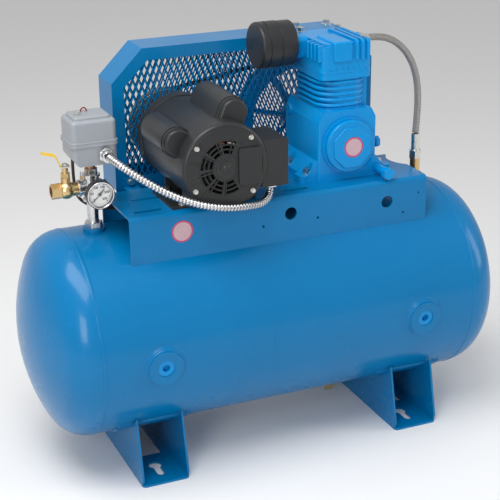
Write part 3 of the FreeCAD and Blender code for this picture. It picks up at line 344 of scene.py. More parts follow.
def dressed(node, material, ease=0.0006, smooth_angle=34.0):
    """A CAD node's copy with its triangles merged and its edges eased; it stands for the node."""
    bm = bmesh.new()
    bm.from_mesh(nodes[node].data)
    bmesh.ops.remove_doubles(bm, verts=bm.verts, dist=0.00001)
    bmesh.ops.dissolve_limit(bm, angle_limit=math.radians(0.4), verts=bm.verts, edges=bm.edges)
    for face in bm.faces:
        face.smooth = True
    for edge in bm.edges:
        if len(edge.link_faces) == 2 and edge.calc_face_angle(0) > math.radians(smooth_angle):
            edge.smooth = False
    piece = placed(node + "_piece", bm)
    piece.data.materials.append(material)
    if ease:
        bevel = piece.modifiers.new("eased", "BEVEL")
        bevel.width = ease
        bevel.segments = 2
        bevel.limit_method = "ANGLE"
        bevel.angle_limit = math.radians(smooth_angle)
        bevel.harden_normals = True
    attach(piece, nodes[node]["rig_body"])
    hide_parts(node)
    return piece


for node in ("tank_shell", "tank_heads", "tank_sockets", "tank_pads", "foot_left", "foot_right",
             "platform", "guard_front", "guard_rear", "guard_brackets"):
    dressed(node, tank_blue)


# ---------------------------------------------------------------- weld beads
# Short beads hold the saddle pads to the tank, and one line closes each dished end; the platform's
# welds to the tank are not drawn. They are ropes of overlapping drops, painted over.
def fixed(piece, material):
    """A piece in one material, fast to the frame."""
    piece.data.materials.append(material)
    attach(piece, "frame")
    return piece


def bead(name, spots, radius, drop):
    """Overlapping drops of weld along a line, each a squashed ball."""
    bm = bmesh.new()
    line, whole = evenly(spots, drop)
    for index, spot in enumerate(line):
        size = radius * (1.0 + 0.12 * math.sin(index * 2.3))
        bmesh.ops.create_icosphere(bm, subdivisions=2, radius=size, matrix=Matrix.Translation(spot))
    for face in bm.faces:
        face.smooth = True
    fixed(placed(name, bm), tank_blue)


def around_tank(x, start, end, count, outward=0.0):
    """Points on the tank's skin at one x, from one angle to another; 0 degrees is the front."""
    spots = []
    for index in range(count):
        way = math.radians(start + (end - start) * index / (count - 1))
        reach = tank_radius + outward
        spots.append(Vector((x, -reach * math.cos(way), tank_centre + reach * math.sin(way))))
    return spots


shell_low, shell_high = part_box("tank_shell")
tank_radius = (shell_high.z - shell_low.z) / 2
tank_centre = (shell_high.z + shell_low.z) / 2
pads_low, pads_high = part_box("tank_pads")
pad_length = 0.145
pad_edge_angle = -47.2
pad_bead, pad_drop = 0.0024, 0.0021
for side, pad_x in (("left", pads_low.x), ("right", pads_high.x - pad_length)):
    ends = around_tank(pad_x, pad_edge_angle, pad_edge_angle, 2)
    front_edge = [ends[0], ends[0] + Vector((pad_length, 0, 0))]
    bead("pad_weld_front_" + side, front_edge, pad_bead, pad_drop)
    rear_edge = [Vector((spot.x, -spot.y, spot.z)) for spot in front_edge]
    bead("pad_weld_rear_" + side, rear_edge, pad_bead, pad_drop)
for side, x in (("left", shell_low.x), ("right", shell_high.x)):
    bm = bmesh.new()
    turn = Matrix.Translation((x, 0, tank_centre)) @ Matrix.Rotation(math.pi / 2, 4, "Y")
    bmesh.ops.create_circle(bm, segments=12, radius=0.0022)
    profile = bm.verts[:]
    bmesh.ops.scale(bm, vec=(0.35, 1.6, 1.0), verts=profile)
    bmesh.ops.translate(bm, vec=(tank_radius - 0.0001, 0, 0), verts=profile)
    bmesh.ops.rotate(bm, cent=(tank_radius, 0, 0), matrix=Matrix.Rotation(math.pi / 2, 3, "X"),
                     verts=profile)
    bmesh.ops.spin(bm, geom=bm.verts[:] + bm.edges[:], cent=(0, 0, 0), axis=(0, 0, 1),
                   angle=math.tau, steps=160, use_merge=True)
    bmesh.ops.transform(bm, matrix=turn, verts=bm.verts)
    for vertex in bm.verts:
        vertex.co.y = min(vertex.co.y, cad_high.y)
    bmesh.ops.recalc_face_normals(bm, faces=bm.faces)
    for face in bm.faces:
        face.smooth = True
    fixed(placed("head_seam_" + side, bm), tank_blue)
shell_mark_x = -0.053
bead("shell_mark", around_tank(shell_mark_x, -8.7, 8.9, 24, -0.0004), 0.0009, 0.0016)


# ---------------------------------------------------------------- port sockets
# A forged collar is welded round each port of the tank. The weld lies in three flat steps round
# the collar, which catch the light one after another.
port_x = 0.276
socket_drop = math.radians(-3.1)
for side, x in (("left", -port_x), ("right", port_x)):
    bm = bmesh.new()
    steps = ((0.0435, -0.0020), (0.0415, 0.0006), (0.0395, 0.0008), (0.0385, 0.0028),
             (0.0365, 0.0030), (0.0355, 0.0050), (0.0338, 0.0052))
    profile = [bm.verts.new((radius, 0, tank_radius + height)) for radius, height in steps]
    for first, second in zip(profile, profile[1:]):
        bm.edges.new((first, second))
    bmesh.ops.spin(bm, geom=bm.verts[:] + bm.edges[:], cent=(0, 0, 0), axis=(0, 0, 1),
                   angle=math.tau, steps=72, use_merge=True)
    for vertex in bm.verts:
        vertex.co.z -= tank_radius - math.sqrt(tank_radius ** 2 - vertex.co.y ** 2)
    turn = Matrix.Rotation(math.pi / 2 - socket_drop, 4, "X")
    bmesh.ops.transform(bm, matrix=Matrix.Translation((x, 0, tank_centre)) @ turn, verts=bm.verts)
    bmesh.ops.recalc_face_normals(bm, faces=bm.faces)
    weld = fixed(placed("socket_weld_" + side, bm), tank_blue)
    solid = weld.modifiers.new("wall", "SOLIDIFY")
    solid.thickness = 0.0012
    solid.offset = -1.0
    rounding = weld.modifiers.new("eased", "BEVEL")
    rounding.width = 0.0005
    rounding.segments = 2


# ---------------------------------------------------------------- stickers
# Two round inspection stickers, on the platform's apron and on the pump's cover. Each is a thin
# printed film: a red ring round a pale pink field, with nothing printed on it.
ring_share = 0.15
film_thick = 0.00025


def sticker(name, centre, outward, radius):
    """A round film a few tenths thick, facing outward."""
    bm = bmesh.new()
    bmesh.ops.create_circle(bm, segments=64, radius=radius, cap_ends=True)
    top = bm.faces[:]
    ring = bmesh.ops.inset_region(bm, faces=top, thickness=radius * ring_share, depth=0.0,
                                  use_boundary=True)
    for face in ring["faces"]:
        face.material_index = 1
    base = bmesh.ops.extrude_face_region(bm, geom=bm.faces[:])
    moved = [item for item in base["geom"] if isinstance(item, bmesh.types.BMVert)]
    bmesh.ops.translate(bm, vec=(0, 0, film_thick), verts=moved)
    bmesh.ops.recalc_face_normals(bm, faces=bm.faces)
    turn = Vector(outward).to_track_quat("Z", "Y").to_matrix().to_4x4()
    bmesh.ops.transform(bm, matrix=Matrix.Translation(centre) @ turn, verts=bm.verts)
    fixed(placed(name, bm), film_pink).data.materials.append(film_red)


def film(name, colour):
    vinyl = Finish(name, colour, 0.35, coat=0.4)
    cloud = vinyl.noise(60.0, 3.0)
    vinyl.feed("Base Color", vinyl.blend(cloud, shade(colour, 0.9), shade(colour, 1.08)))
    return vinyl.material


film_pink = film("sticker_pink", (0.50, 0.33, 0.37))
film_red = film("sticker_red", (0.45, 0.03, 0.12))
film_stand = 0.00005
deck_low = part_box("platform")[0]
sticker("apron_sticker", (-0.204, deck_low.y - film_stand, 0.486), (0, -1, 0), 0.0215)
cover_low, cover_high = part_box("bearing_cover")
cover_middle = (cover_low + cover_high) / 2
sticker("pump_sticker", (cover_middle.x + 0.004, cover_low.y - film_stand, cover_middle.z - 0.001),
        (0, -1, 0), 0.0205)


# ---------------------------------------------------------------- belt guard's mesh
# Both faces of the guard are expanded metal: a steel sheet slit and pulled open into tall
# diamonds, painted with the rest. The strands stand a little on edge, so each one glints.
diamond_wide = 0.0127
diamond_tall = 0.0305
strand_width = 0.0034
strand_thick = 0.0013
strand_tilt = math.radians(28)
guard_low, guard_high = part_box("guard_front")
corner_cut = 0.065
panel_inset = 0.017
drop_x = -0.014
upper_floor = 0.501
motor_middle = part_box("motor_shaft")[0].lerp(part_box("motor_shaft")[1], 0.5)
crank_middle = Vector((0.1655, 0, 0.595))


def inside_guard(x, z, inset):
    """Whether a point lies inside the guard's outline, this far from its edge."""
    left, right, top = guard_low.x + inset, guard_high.x - inset, guard_high.z - inset
    low = guard_low.z + inset if x > drop_x + inset else upper_floor + inset
    if not (left < x < right and low < z < top):
        return False
    reach = corner_cut - 0.6 * inset
    return (x - left) + (top - z) > reach and (right - x) + (top - z) > reach


def expanded_metal(name, y, holes, start):
    """One panel of tall diamonds. A start of 1 puts its crossings where the other has its gaps."""
    bm = bmesh.new()
    columns = int((guard_high.x - guard_low.x) / diamond_wide) + 1
    rows = int((guard_high.z - guard_low.z) / diamond_tall) + 1
    long = math.hypot(diamond_wide, diamond_tall) / 2
    lean = math.atan2(diamond_wide, diamond_tall)
    for column in range(columns * 2):
        for row in range(rows * 2):
            x = guard_low.x + (column + 0.5) * diamond_wide / 2
            z = guard_low.z + (row + 0.5) * diamond_tall / 2
            if not inside_guard(x, z, panel_inset):
                continue
            if any(math.hypot(x - hole.x, z - hole.z) < radius for hole, radius in holes):
                continue
            way = 1 if (column + row + start) % 2 else -1
            turn = Matrix.Rotation(way * lean, 4, "Y") @ Matrix.Rotation(strand_tilt, 4, "Z")
            size = Matrix.Diagonal((strand_width, strand_thick, long * 1.06, 1))
            spot = Matrix.Translation((x, y, z))
            bmesh.ops.create_cube(bm, size=1.0, matrix=spot @ turn @ size)
    return fixed(placed(name, bm), tank_blue)


def round_edges(bm, edges, offset, segments):
    """The edges of a bmesh rounded over."""
    bmesh.ops.bevel(bm, geom=edges, offset=offset, segments=segments, profile=0.5, affect="EDGES",
                    material=-1)


mesh_low, mesh_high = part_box("guard_mesh")
panel_depth = 0.0012
shaft_holes = ((motor_middle, 0.030), (crank_middle, 0.036))
front_panel = expanded_metal("guard_mesh_front", mesh_low.y + panel_depth, shaft_holes, 0)
expanded_metal("guard_mesh_rear", mesh_high.y - panel_depth, (), 1)
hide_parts("guard_mesh")

# The frame's lower edge is folded down in a narrow hem behind the platform.
hem_top, hem_drop, hem_sheet = upper_floor + 0.0010, 0.0085, 0.0016
bm = bmesh.new()
middle = Vector(((guard_low.x + drop_x) / 2, guard_low.y + hem_sheet / 2, hem_top - hem_drop / 2))
size = Matrix.Diagonal((drop_x - guard_low.x, hem_sheet, hem_drop, 1))
bmesh.ops.create_cube(bm, size=1.0, matrix=Matrix.Translation(middle) @ size)
round_edges(bm, bm.edges[:], 0.0005, 2)
fixed(placed("guard_hem", bm), tank_blue)


# ---------------------------------------------------------------- motor
# Rolled and cast shells in black satin paint over a slightly rough surface. The front bell is
# pressed steel with rings of air slots, a round hub and a flat plate at its right side.
def satin_black(name, colour, roughness, grain, depth):
    paint = Finish(name, colour, roughness, coat=0.08, coat_roughness=0.2)
    paint.feed("Specular IOR Level", 0.35)
    cloud = paint.noise(9.0, 4.0)
    paint.feed("Base Color", paint.blend(cloud, shade(colour, 0.75), shade(colour, 1.3)))
    paint.feed("Roughness", roughness + paint.noise(30.0, 4.0) * 0.2 - 0.1)
    paint.bump(paint.noise(grain, 3.0), depth)
    return paint.material


motor_black = satin_black("motor_black", (0.020, 0.021, 0.022), 0.36, 420.0, 0.00012)
zinc = Finish("zinc_plate", (0.72, 0.71, 0.66), 0.28, metallic=1.0)
zinc.feed("Base Color", zinc.blend(zinc.noise(70.0, 3.0), (0.62, 0.60, 0.53, 1),
                                   (0.80, 0.80, 0.78, 1)))
zinc.feed("Roughness", 0.2 + zinc.noise(120.0, 3.0) * 0.2)
zinc_plate = zinc.material
for node in ("motor_shell", "motor_bell_front", "motor_bell_rear", "motor_base",
             "capacitor_covers"):
    dressed(node, motor_black, 0.0008)
dressed("motor_screws", zinc_plate, 0.0004)

bell_low, bell_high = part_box("motor_bell_front")
bell_middle = (bell_low + bell_high) / 2
bell_middle.y = bell_low.y + 0.004


def turned(name, profile, centre, axis, material, steps=96):
    """A profile of (radius, height) points spun round an axis, the height measured along it."""
    bm = bmesh.new()
    line = [bm.verts.new((radius, 0, height)) for radius, height in profile]
    for first, second in zip(line, line[1:]):
        bm.edges.new((first, second))
    bmesh.ops.spin(bm, geom=bm.verts[:] + bm.edges[:], cent=(0, 0, 0), axis=(0, 0, 1),
                   angle=math.tau, steps=steps, use_merge=True)
    bmesh.ops.remove_doubles(bm, verts=bm.verts, dist=0.00001)
    bmesh.ops.recalc_face_normals(bm, faces=bm.faces)
    turn = Vector(axis).to_track_quat("Z", "Y").to_matrix().to_4x4()
    bmesh.ops.transform(bm, matrix=Matrix.Translation(centre) @ turn, verts=bm.verts)
    for face in bm.faces:
        face.smooth = True
    for edge in bm.edges:
        if len(edge.link_faces) == 2 and edge.calc_face_angle(0) > math.radians(30):
            edge.smooth = False
    fixed(placed(name, bm), material)


hub_profile = ((0, 0.0062), (0.0035, 0.0060), (0.0062, 0.0048), (0.0080, 0.0026), (0.0092, 0.0020),
               (0.0175, 0.0016), (0.0190, 0.0008), (0.0195, -0.0010), (0, -0.0010))
turned("bell_hub", hub_profile, bell_middle, (0, -1, 0), motor_black)
rim_profile = ((0.0722, -0.0008), (0.0728, 0.0006), (0.0752, 0.0010), (0.0768, 0.0006),
               (0.0774, -0.0008))
turned("bell_rim", rim_profile, bell_middle, (0, -1, 0), motor_black)
for radius in (0.0255, 0.0350, 0.0436, 0.0520):
    turned("slot_lip_%03d" % round(radius * 10000),
           ((radius - 0.0008, -0.0004), (radius - 0.0004, 0.0007), (radius + 0.0004, 0.0007),
            (radius + 0.0008, -0.0004)), bell_middle, (0, -1, 0), motor_black, 72)
bm = bmesh.new()
inner_ribs = (76, 112, 150, 192, 232, 268), 0.040, 0.0003, (0.030, 0.0030, 0.0018, 1)
outer_ribs = (136, 166, 196, 226), 0.0635, 0.0002, (0.019, 0.0030, 0.0018, 1)
for angles, reach, sunk, size in (inner_ribs, outer_ribs):
    for angle in angles:
        way = math.radians(angle)
        along = Vector((math.cos(way), 0, math.sin(way)))
        place = bell_middle + along * reach + Vector((0, -sunk, 0))
        turn = Matrix.Rotation(-way, 4, "Y") @ Matrix.Diagonal(size)
        bmesh.ops.create_cube(bm, size=1.0, matrix=Matrix.Translation(place) @ turn)
round_edges(bm, bm.edges[:], 0.0004, 1)
fixed(placed("bell_ribs", bm), motor_black)

box_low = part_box("junction_box")[0]
bm = bmesh.new()
plate_stand = 0.0045
for x in (bell_middle.x + 0.024, box_low.x + 0.002):
    for z in (bell_middle.z - 0.036, bell_middle.z + 0.034):
        bm.verts.new((x, bell_middle.y - plate_stand, z))
left_low, left_high, right_low, right_high = bm.verts[:]
bm.faces.new((left_low, right_low, right_high, left_high))
made = bmesh.ops.extrude_face_region(bm, geom=bm.faces[:])
moved = [item for item in made["geom"] if isinstance(item, bmesh.types.BMVert)]
bmesh.ops.translate(bm, vec=(0, plate_stand, 0), verts=moved)
bmesh.ops.recalc_face_normals(bm, faces=bm.faces)
upright = [edge for edge in bm.edges if abs(edge.verts[0].co.y - edge.verts[1].co.y) > 0.003]
round_edges(bm, upright, 0.006, 5)
front = bell_middle.y - plate_stand
fronts = [edge for edge in bm.edges if max(v.co.y for v in edge.verts) < front + 0.0001]
round_edges(bm, fronts, 0.0012, 2)
fixed(placed("terminal_cover", bm), motor_black)
box_black = satin_black("box_black", (0.020, 0.021, 0.022), 0.45, 300.0, 0.00008)
dressed("junction_box", box_black, 0.0012)

# Two motor leads, one orange and one white, show through the upper slots.
lead_reach, lead_radius = 0.045, 0.0021
for name, colour, angle in (("orange_lead", (0.60, 0.13, 0.03), 96),
                            ("white_lead", (0.75, 0.74, 0.70), 70)):
    lead = Finish(name, colour, 0.45)
    lead.feed("Roughness", 0.4 + lead.noise(300.0) * 0.15)
    spots = []
    for step in range(9):
        way = math.radians(angle + step * 2.0 - 4)
        spots.append(bell_middle + Vector((lead_reach * math.cos(way), 0.0055 + 0.0004 * step,
                                           lead_reach * math.sin(way))))
    wire = swept(name + "_wire", spots, [lead_radius] * len(spots), 12)
    fixed(wire, lead.material)

# Each capacitor's cover is drawn in two steps near its front end.
cover_step = ((0.0255, -0.0014), (0.0264, -0.0008), (0.0266, 0.0), (0.0264, 0.0008),
              (0.0255, 0.0014))
for number, angle, offset in ((1, 69.0, 0.096), (2, 150.0, 0.089)):
    way = math.radians(angle)
    middle = motor_middle + Vector((offset * math.cos(way), 0, offset * math.sin(way)))
    for step, y in enumerate((-0.1085, -0.1015)):
        middle.y = y
        turned("cover_step_%d_%d" % (number, step), cover_step, middle, (0, -1, 0), motor_black,
               64)


# ---------------------------------------------------------------- pump castings
# The crankcase, bearing cover, cylinders, head and flywheel are sand-cast iron. The paint is a
# lighter blue than the tank's and shows the sand's grain under it.
pump_blue = enamel("pump_blue", (0.0, 0.235, 0.57), 0.3, 0.00016, pits=1.4)
for node in ("crankcase", "bearing_cover", "cylinder_block", "valve_plate", "cylinder_head",
             "flywheel"):
    dressed(node, pump_blue, 0.0011)
dressed("pipe_plugs", pump_blue, 0.0007)

head_low, head_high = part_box("valve_plate")
bm = bmesh.new()
boss_pitch = 0.0128
for index in range(7):
    x = head_low.x + 0.020 + index * boss_pitch
    spot = Matrix.Translation((x, head_low.y - 0.0001, head_high.z + 0.0045))
    bmesh.ops.create_uvsphere(bm, u_segments=16, v_segments=10, radius=0.0024,
                              matrix=spot @ Matrix.Diagonal((1, 0.8, 1, 1)))
for face in bm.faces:
    face.smooth = True
fixed(placed("head_bosses", bm), pump_blue)

cover_reach = (cover_high.x - cover_low.x) / 2
rim = [vertex.co for vertex in nodes["bearing_cover"].data.vertices
       if math.hypot(vertex.co.x - cover_middle.x, vertex.co.z - cover_middle.z)
       > cover_reach - 0.0015]
rim_front = Vector((cover_middle.x, min(spot.y for spot in rim), cover_middle.z))
for number, reach in enumerate((cover_reach - 0.0022, cover_reach - 0.0052)):
    ring_profile = ((reach - 0.0009, -0.0005), (reach - 0.0005, 0.0006), (reach + 0.0005, 0.0006),
                    (reach + 0.0009, -0.0005))
    turned("cover_ring_%d" % number, ring_profile, rim_front, (0, -1, 0), pump_blue)


# ---------------------------------------------------------------- pump and drive insides
# Turned steel, cast aluminium and stacked electrical sheet, all bare; the belt is black rubber
# over cord, dusty on its flanks.
def metal(name, colour, roughness, spread=0.16, grain=90.0, depth=0.00003):
    """A bare or plated metal with a cloudy colour and an uneven polish."""
    skin = Finish(name, colour, roughness, metallic=1.0)
    cloud = skin.noise(grain * 0.5, 3.0)
    skin.feed("Base Color", skin.blend(cloud, shade(colour, 0.82), shade(colour, 1.12)))
    skin.feed("Roughness", roughness - spread / 2 + skin.noise(grain, 4.0) * spread)
    skin.bump(skin.noise(grain * 6, 2.0), depth)
    return skin.material


bare_steel = metal("bare_steel", (0.52, 0.52, 0.53), 0.32)
cast_aluminium = metal("cast_aluminium", (0.60, 0.61, 0.63), 0.48, grain=60.0, depth=0.00012)
for node in ("crankshaft", "ball_bearings", "motor_shaft", "check_valve_disc"):
    dressed(node, bare_steel, 0.0004)
for node in ("pistons", "connecting_rods", "motor_pulley"):
    dressed(node, cast_aluminium, 0.0006)
stack = Finish("laminations", (0.26, 0.27, 0.29), 0.45, metallic=1.0)
sheets = stack.bands("Y", 320.0)
stack.feed("Base Color", stack.blend(sheets, (0.17, 0.18, 0.20, 1), (0.34, 0.35, 0.37, 1)))
stack.feed("Roughness", 0.35 + stack.noise(80.0) * 0.2)
stack.bump(sheets, 0.00015)
for node in ("motor_stator", "motor_rotor"):
    dressed(node, stack.material, 0.0005)
rubber = Finish("belt_rubber", (0.018, 0.018, 0.018), 0.72)
dust = rubber.noise(25.0, 4.0)
rubber.feed("Base Color", rubber.blend(dust, (0.012, 0.012, 0.012, 1), (0.045, 0.043, 0.04, 1)))
rubber.feed("Roughness", 0.62 + rubber.noise(60.0) * 0.2)
rubber.bump(rubber.noise(900.0, 2.0), 0.0001)
dressed("v_belt", rubber.material, 0.0006)
can_black = satin_black("can_black", (0.022, 0.022, 0.024), 0.4, 250.0, 0.00004)
dressed("capacitors", can_black, 0.0006)


# ---------------------------------------------------------------- fixings
# Zinc-plated bolts, washers and nuts, bright with a faint yellow in places.
dressed("hex_bolts", zinc_plate, 0.0005)


# ---------------------------------------------------------------- air filter
# The canister is drawn steel in black paint round a ring of pleated paper. Two rolled beads run
# round its lid.
filter_black = satin_black("filter_black", (0.020, 0.021, 0.023), 0.38, 200.0, 0.00005)
for node in ("filter_base", "filter_cover"):
    dressed(node, filter_black, 0.0016)
pleats = Finish("filter_paper", (0.75, 0.70, 0.55), 0.85)
folds_and_shade = pleats.bands("Z", 90.0)
# The paper is painted darker in its folds: painted shade in the creases, on the same bands that
# drive the bump.
pleats.feed("Base Color", pleats.blend(folds_and_shade, (0.52, 0.47, 0.34, 1), (0.80, 0.75, 0.60, 1)))
pleats.bump(folds_and_shade, 0.0008)
dressed("filter_element", pleats.material, 0.0005)
lid_low, lid_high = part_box("filter_cover")
lid_lip = 0.0011
lid_reach = (lid_high.z - lid_low.z) / 2 - lid_lip
lid_middle = Vector((lid_low.x, (lid_low.y + lid_high.y) / 2, (lid_low.z + lid_high.z) / 2))
for number, (inward, height) in enumerate(((0.0015, 0.0006), (0.017, 0.0004))):
    lid_middle.x = lid_high.x - inward
    shoulder = lid_reach + height * 0.7
    bead_profile = ((lid_reach - 0.0005, -0.0018), (shoulder, -0.0010), (lid_reach + height, 0),
                    (shoulder, 0.0010), (lid_reach - 0.0005, 0.0018))
    turned("filter_bead_%d" % number, bead_profile, lid_middle, (1, 0, 0), filter_black)


# ---------------------------------------------------------------- hose and conduit
# The hose is rubber in a braid of stainless wire, crimped into a ferrule at each end. The conduit
# is a galvanised strip wound into interlocking ribs.
braid = Finish("hose_braid", (0.52, 0.50, 0.47), 0.36, metallic=1.0)
around = braid.add("ShaderNodeSeparateXYZ", {}, {"Vector": braid.place("UV")}, "X")
along = braid.add("ShaderNodeSeparateXYZ", {}, {"Vector": braid.place("UV")}, "Y")
strand_count = 20
braid_pitch = 0.0064
turning = around * (math.tau * strand_count)
running = along * (math.tau / braid_pitch)
weave_and_shade = (turning + running).maths("SINE") * (turning - running).maths("SINE")
weave_and_shade = weave_and_shade * 0.5 + 0.5
# The braid's colour follows the weave's height: the low places between the wires are painted shade,
# darker than the wire itself; the same weave also drives the bump.
braid.feed("Base Color", braid.blend(weave_and_shade, (0.20, 0.19, 0.18, 1), (0.56, 0.53, 0.50, 1)))
braid.feed("Roughness", 0.30 + braid.noise(200.0) * 0.2)
braid.bump(weave_and_shade, 0.0007)
hose_line, hose_length = evenly(centreline(hose_route, 24), 0.003)
hose = swept("braided_hose", hose_line, [hose_diameter / 2] * len(hose_line), 40)
fixed(hose, braid.material)
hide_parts("discharge_hose")

galvanised = metal("galvanised", (0.66, 0.67, 0.68), 0.26, spread=0.2, grain=110.0)
bright_zinc = metal("bright_zinc", (0.82, 0.82, 0.83), 0.16, spread=0.12, grain=60.0)
rib_pitch = 0.0066
samples = 6
strip = Finish("conduit_strip", (0.70, 0.70, 0.71), 0.24, metallic=1.0)
length_along = strip.add("ShaderNodeSeparateXYZ", {}, {"Vector": strip.place("UV")}, "Y")
# The base colour is darker in the grooves between the ribs: painted shade in the recesses, not a
# different metal.
groove_shade = (length_along * (math.tau / rib_pitch) + 1.2).maths("SINE") * 0.5 + 0.5
strip.feed("Base Color", strip.blend(groove_shade, (0.74, 0.74, 0.75, 1), (0.28, 0.28, 0.29, 1)))
strip.feed("Roughness", 0.2 + strip.noise(150.0) * 0.14)
conduit_line, conduit_length = evenly(centreline(conduit_route, 24), rib_pitch / samples)
rib_shape = (0.80, 0.86, 0.97, 1.0, 0.97, 0.86)
conduit_radii = [conduit_diameter / 2 * rib_shape[index % samples]
                 for index in range(len(conduit_line))]
conduit = swept("ribbed_conduit", conduit_line, conduit_radii, 36)
fixed(conduit, strip.material)
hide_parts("conduit")
dressed("conduit_connectors", bright_zinc, 0.0007)


# ---------------------------------------------------------------- brass fittings
# Forged and turned brass, dulled a little by handling: the ball valve, the safety valve, the
# check valve and the drain cock. The lever is zinc-plated steel in a yellow vinyl sleeve.
brass = metal("brass", (0.70, 0.50, 0.24), 0.3, spread=0.22, grain=70.0, depth=0.00004)
for node in ("ball_valve_body", "safety_valve", "drain_valve", "drain_handle"):
    dressed(node, brass, 0.0006)
check_valve = dressed("check_valve_body", brass, 0.0006)
check_valve.data.materials.append(zinc_plate)
valve_low, valve_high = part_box("check_valve_body")
for face in check_valve.data.polygons:
    if face.center.z > (valve_low.z + valve_high.z) / 2:
        face.material_index = 1
for node in ("valve_ball", "safety_ring", "discharge_fitting"):
    dressed(node, zinc_plate, 0.0005)
sleeve = Finish("yellow_sleeve", (0.78, 0.50, 0.02), 0.38, coat=0.15)
sleeve.feed("Base Color", sleeve.blend(sleeve.noise(50.0, 3.0), (0.70, 0.43, 0.015, 1),
                                       (0.86, 0.58, 0.04, 1)))
sleeve.feed("Roughness", 0.3 + sleeve.noise(90.0) * 0.16)
lever = dressed("valve_lever", sleeve.material, 0.0009)
lever.data.materials.append(zinc_plate)
ball_low, ball_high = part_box("valve_ball")
stem_reach = 0.0125
for face in lever.data.polygons:
    if face.center.x > (ball_low.x + ball_high.x) / 2 - stem_reach:
        face.material_index = 1


# ---------------------------------------------------------------- manifold
# Galvanised pipe fittings carry the pressure switch, the gauge and the outlet. The bushing right
# under the switch is copper-coloured.
manifold = dressed("manifold", galvanised, 0.0006)
copper = metal("copper_bushing", (0.50, 0.26, 0.17), 0.4)
manifold.data.materials.append(copper)
switch_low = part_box("switch_base")[0].z
bushing_height = 0.017
for face in manifold.data.polygons:
    if face.center.z > switch_low - bushing_height:
        face.material_index = 1


# ---------------------------------------------------------------- pressure switch
# A pressed-steel cover sits over a die-cast base, both in mid-grey paint, with a hex nut on top
# and a short wire loop behind it.
grey_paint = Finish("grey_paint", (0.27, 0.29, 0.32), 0.38, coat=0.15, coat_roughness=0.2)
grey_cloud = grey_paint.noise(14.0, 4.0)
grey_paint.feed("Base Color", grey_paint.blend(grey_cloud, (0.25, 0.27, 0.30, 1),
                                               (0.30, 0.32, 0.35, 1)))
grey_paint.feed("Roughness", 0.3 + grey_paint.noise(40.0, 4.0) * 0.2)
grey_paint.bump(grey_paint.noise(350.0, 2.0), 0.00008)
dressed("switch_base", grey_paint.material, 0.0010)
cover = dressed("switch_cover", grey_paint.material, 0.0008)
cover.data.materials.append(zinc_plate)
nut_height = 0.007
switch_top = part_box("switch_cover")[1].z - nut_height
for face in cover.data.polygons:
    if face.center.z > switch_top + 0.0003:
        face.material_index = 1
loop_red = Finish("loop_red", (0.22, 0.02, 0.02), 0.4)
loop_red.feed("Roughness", 0.35 + loop_red.noise(200.0) * 0.2)
loop_middle = Vector((-0.344, 0.014, switch_top - 0.001))
loop_wide, loop_tall, loop_wire = 0.006, 0.0085, 0.0013
loop_line = []
for angle in range(-8, 189, 14):
    way = math.radians(angle)
    loop_line.append(loop_middle + Vector((loop_wide * math.cos(way), 0, loop_tall * math.sin(way))))
loop = swept("switch_loop", loop_line, [loop_wire] * len(loop_line), 14)
fixed(loop, loop_red.material)


# ---------------------------------------------------------------- gauge
# A small dry gauge: black steel case, pressed bright rim, printed white dial and a clear lens.
dressed("gauge_case", filter_black, 0.0008)
dial_white = Finish("dial_white", (0.80, 0.80, 0.78), 0.5)
dial_cloud = dial_white.noise(40.0)
dial_white.feed("Base Color", dial_white.blend(dial_cloud, (0.84, 0.84, 0.82, 1),
                                               (0.92, 0.92, 0.90, 1)))
dressed("gauge_dial", dial_white.material, 0.0002)
needle_black = Finish("needle_black", (0.015, 0.015, 0.015), 0.4)
needle_black.feed("Roughness", 0.35 + needle_black.noise(300.0) * 0.15)
dressed("gauge_needle", needle_black.material, 0.0)
clear = Finish("lens_clear", (0.95, 0.97, 1.0), 0.04)
clear.feed("Alpha", 0.03 + clear.noise(20.0) * 0.03)
clear.feed("Coat Weight", 1.0)
dressed("gauge_lens", clear.material, 0.0)
dial_low, dial_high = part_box("gauge_dial")
case_low, case_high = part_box("gauge_case")
dial_middle = (dial_low + dial_high) / 2
dial_middle.y = dial_low.y
dial_reach = (dial_high.x - dial_low.x) / 2
case_reach = (case_high.z - case_low.z) / 2
gauge_rim = ((case_reach - 0.0036, 0.0004), (case_reach - 0.0030, 0.0013),
             (case_reach - 0.0016, 0.0014), (case_reach - 0.0006, 0.0006),
             (case_reach - 0.0003, -0.0012))
turned("gauge_rim", gauge_rim, Vector((dial_middle.x, case_low.y + 0.0012, dial_middle.z)),
       (0, -1, 0), bright_zinc)

sweep = math.radians(270)
tick_gap = sweep / 50


def dial_turn(index):
    """From the dial's own upright frame to one tick's place, 0 being at the lower left."""
    turn = Matrix.Rotation(-sweep / 2 + tick_gap * index, 4, "Y")
    return Matrix.Translation(dial_middle) @ turn


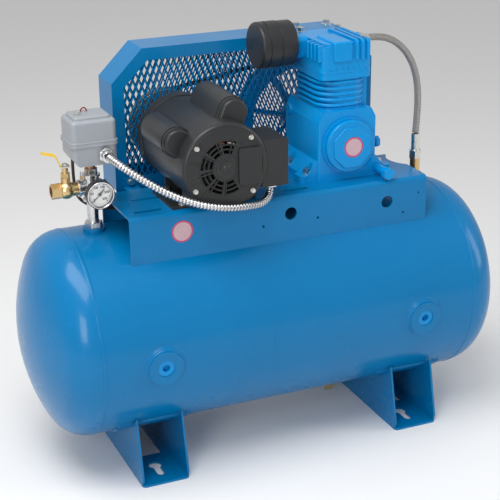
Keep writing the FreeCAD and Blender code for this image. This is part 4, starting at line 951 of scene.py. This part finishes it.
ink = 0.0002
ink_stand = 0.00005
ring_reach = dial_reach - 0.0026
bm = bmesh.new()
for index in range(51):
    long = 0.0034 if index % 10 == 0 else 0.0024 if index % 5 == 0 else 0.0015
    wide = 0.0014 if index % 5 == 0 else 0.0007
    mark = Matrix.Translation((0, -ink_stand, ring_reach - long / 2))
    mark = mark @ Matrix.Diagonal((wide, ink, long, 1))
    bmesh.ops.create_cube(bm, size=1.0, matrix=dial_turn(index) @ mark)
for index in range(50):
    mark = Matrix.Translation((0, -ink_stand, ring_reach))
    mark = mark @ Matrix.Diagonal((0.0022, ink, 0.0003, 1))
    bmesh.ops.create_cube(bm, size=1.0, matrix=dial_turn(index + 0.5) @ mark)
for index in range(6):
    written = bpy.data.curves.new("number", "FONT")
    written.body = str(index * 50)
    written.size = 0.0062
    written.offset = 0.00022
    written.align_x = "CENTER"
    written.align_y = "CENTER"
    written.extrude = 0.00008
    holder = bpy.data.objects.new("number", written)
    figures = bpy.data.meshes.new_from_object(holder)
    bpy.data.objects.remove(holder)
    place = dial_turn(index * 10) @ Vector((0, 0, dial_reach - 0.0100))
    place = place + Vector((0, -0.00006, 0))
    figures.transform(Matrix.Translation(place) @ Matrix.Rotation(math.pi / 2, 4, "X"))
    bm.from_mesh(figures)
fixed(placed("gauge_marks", bm), needle_black.material)
needle_low, needle_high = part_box("gauge_needle")
bm = bmesh.new()
tail = Matrix.Translation((dial_middle.x, (needle_low.y + needle_high.y) / 2, dial_middle.z))
tail = tail @ Matrix.Rotation(math.radians(45), 4, "Y") @ Matrix.Translation((0, 0, 0.0065))
bmesh.ops.create_cone(bm, segments=4, radius1=0.0016, radius2=0.0009, depth=0.013, cap_ends=True,
                      matrix=tail @ Matrix.Diagonal((1, 0.25, 1, 1)))
needle_tail = placed("needle_tail", bm)
needle_tail.data.materials.append(needle_black.material)
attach(needle_tail, nodes["gauge_needle"]["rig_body"])


nylon = Finish("tube_brown", (0.045, 0.022, 0.014), 0.35, coat=0.1)
nylon.feed("Base Color", nylon.blend(nylon.noise(30.0, 3.0), (0.035, 0.016, 0.010, 1),
                                     (0.065, 0.034, 0.022, 1)))
nylon.feed("Roughness", 0.3 + nylon.noise(70.0) * 0.15)
dressed("unloader_tube", nylon.material, 0.0)
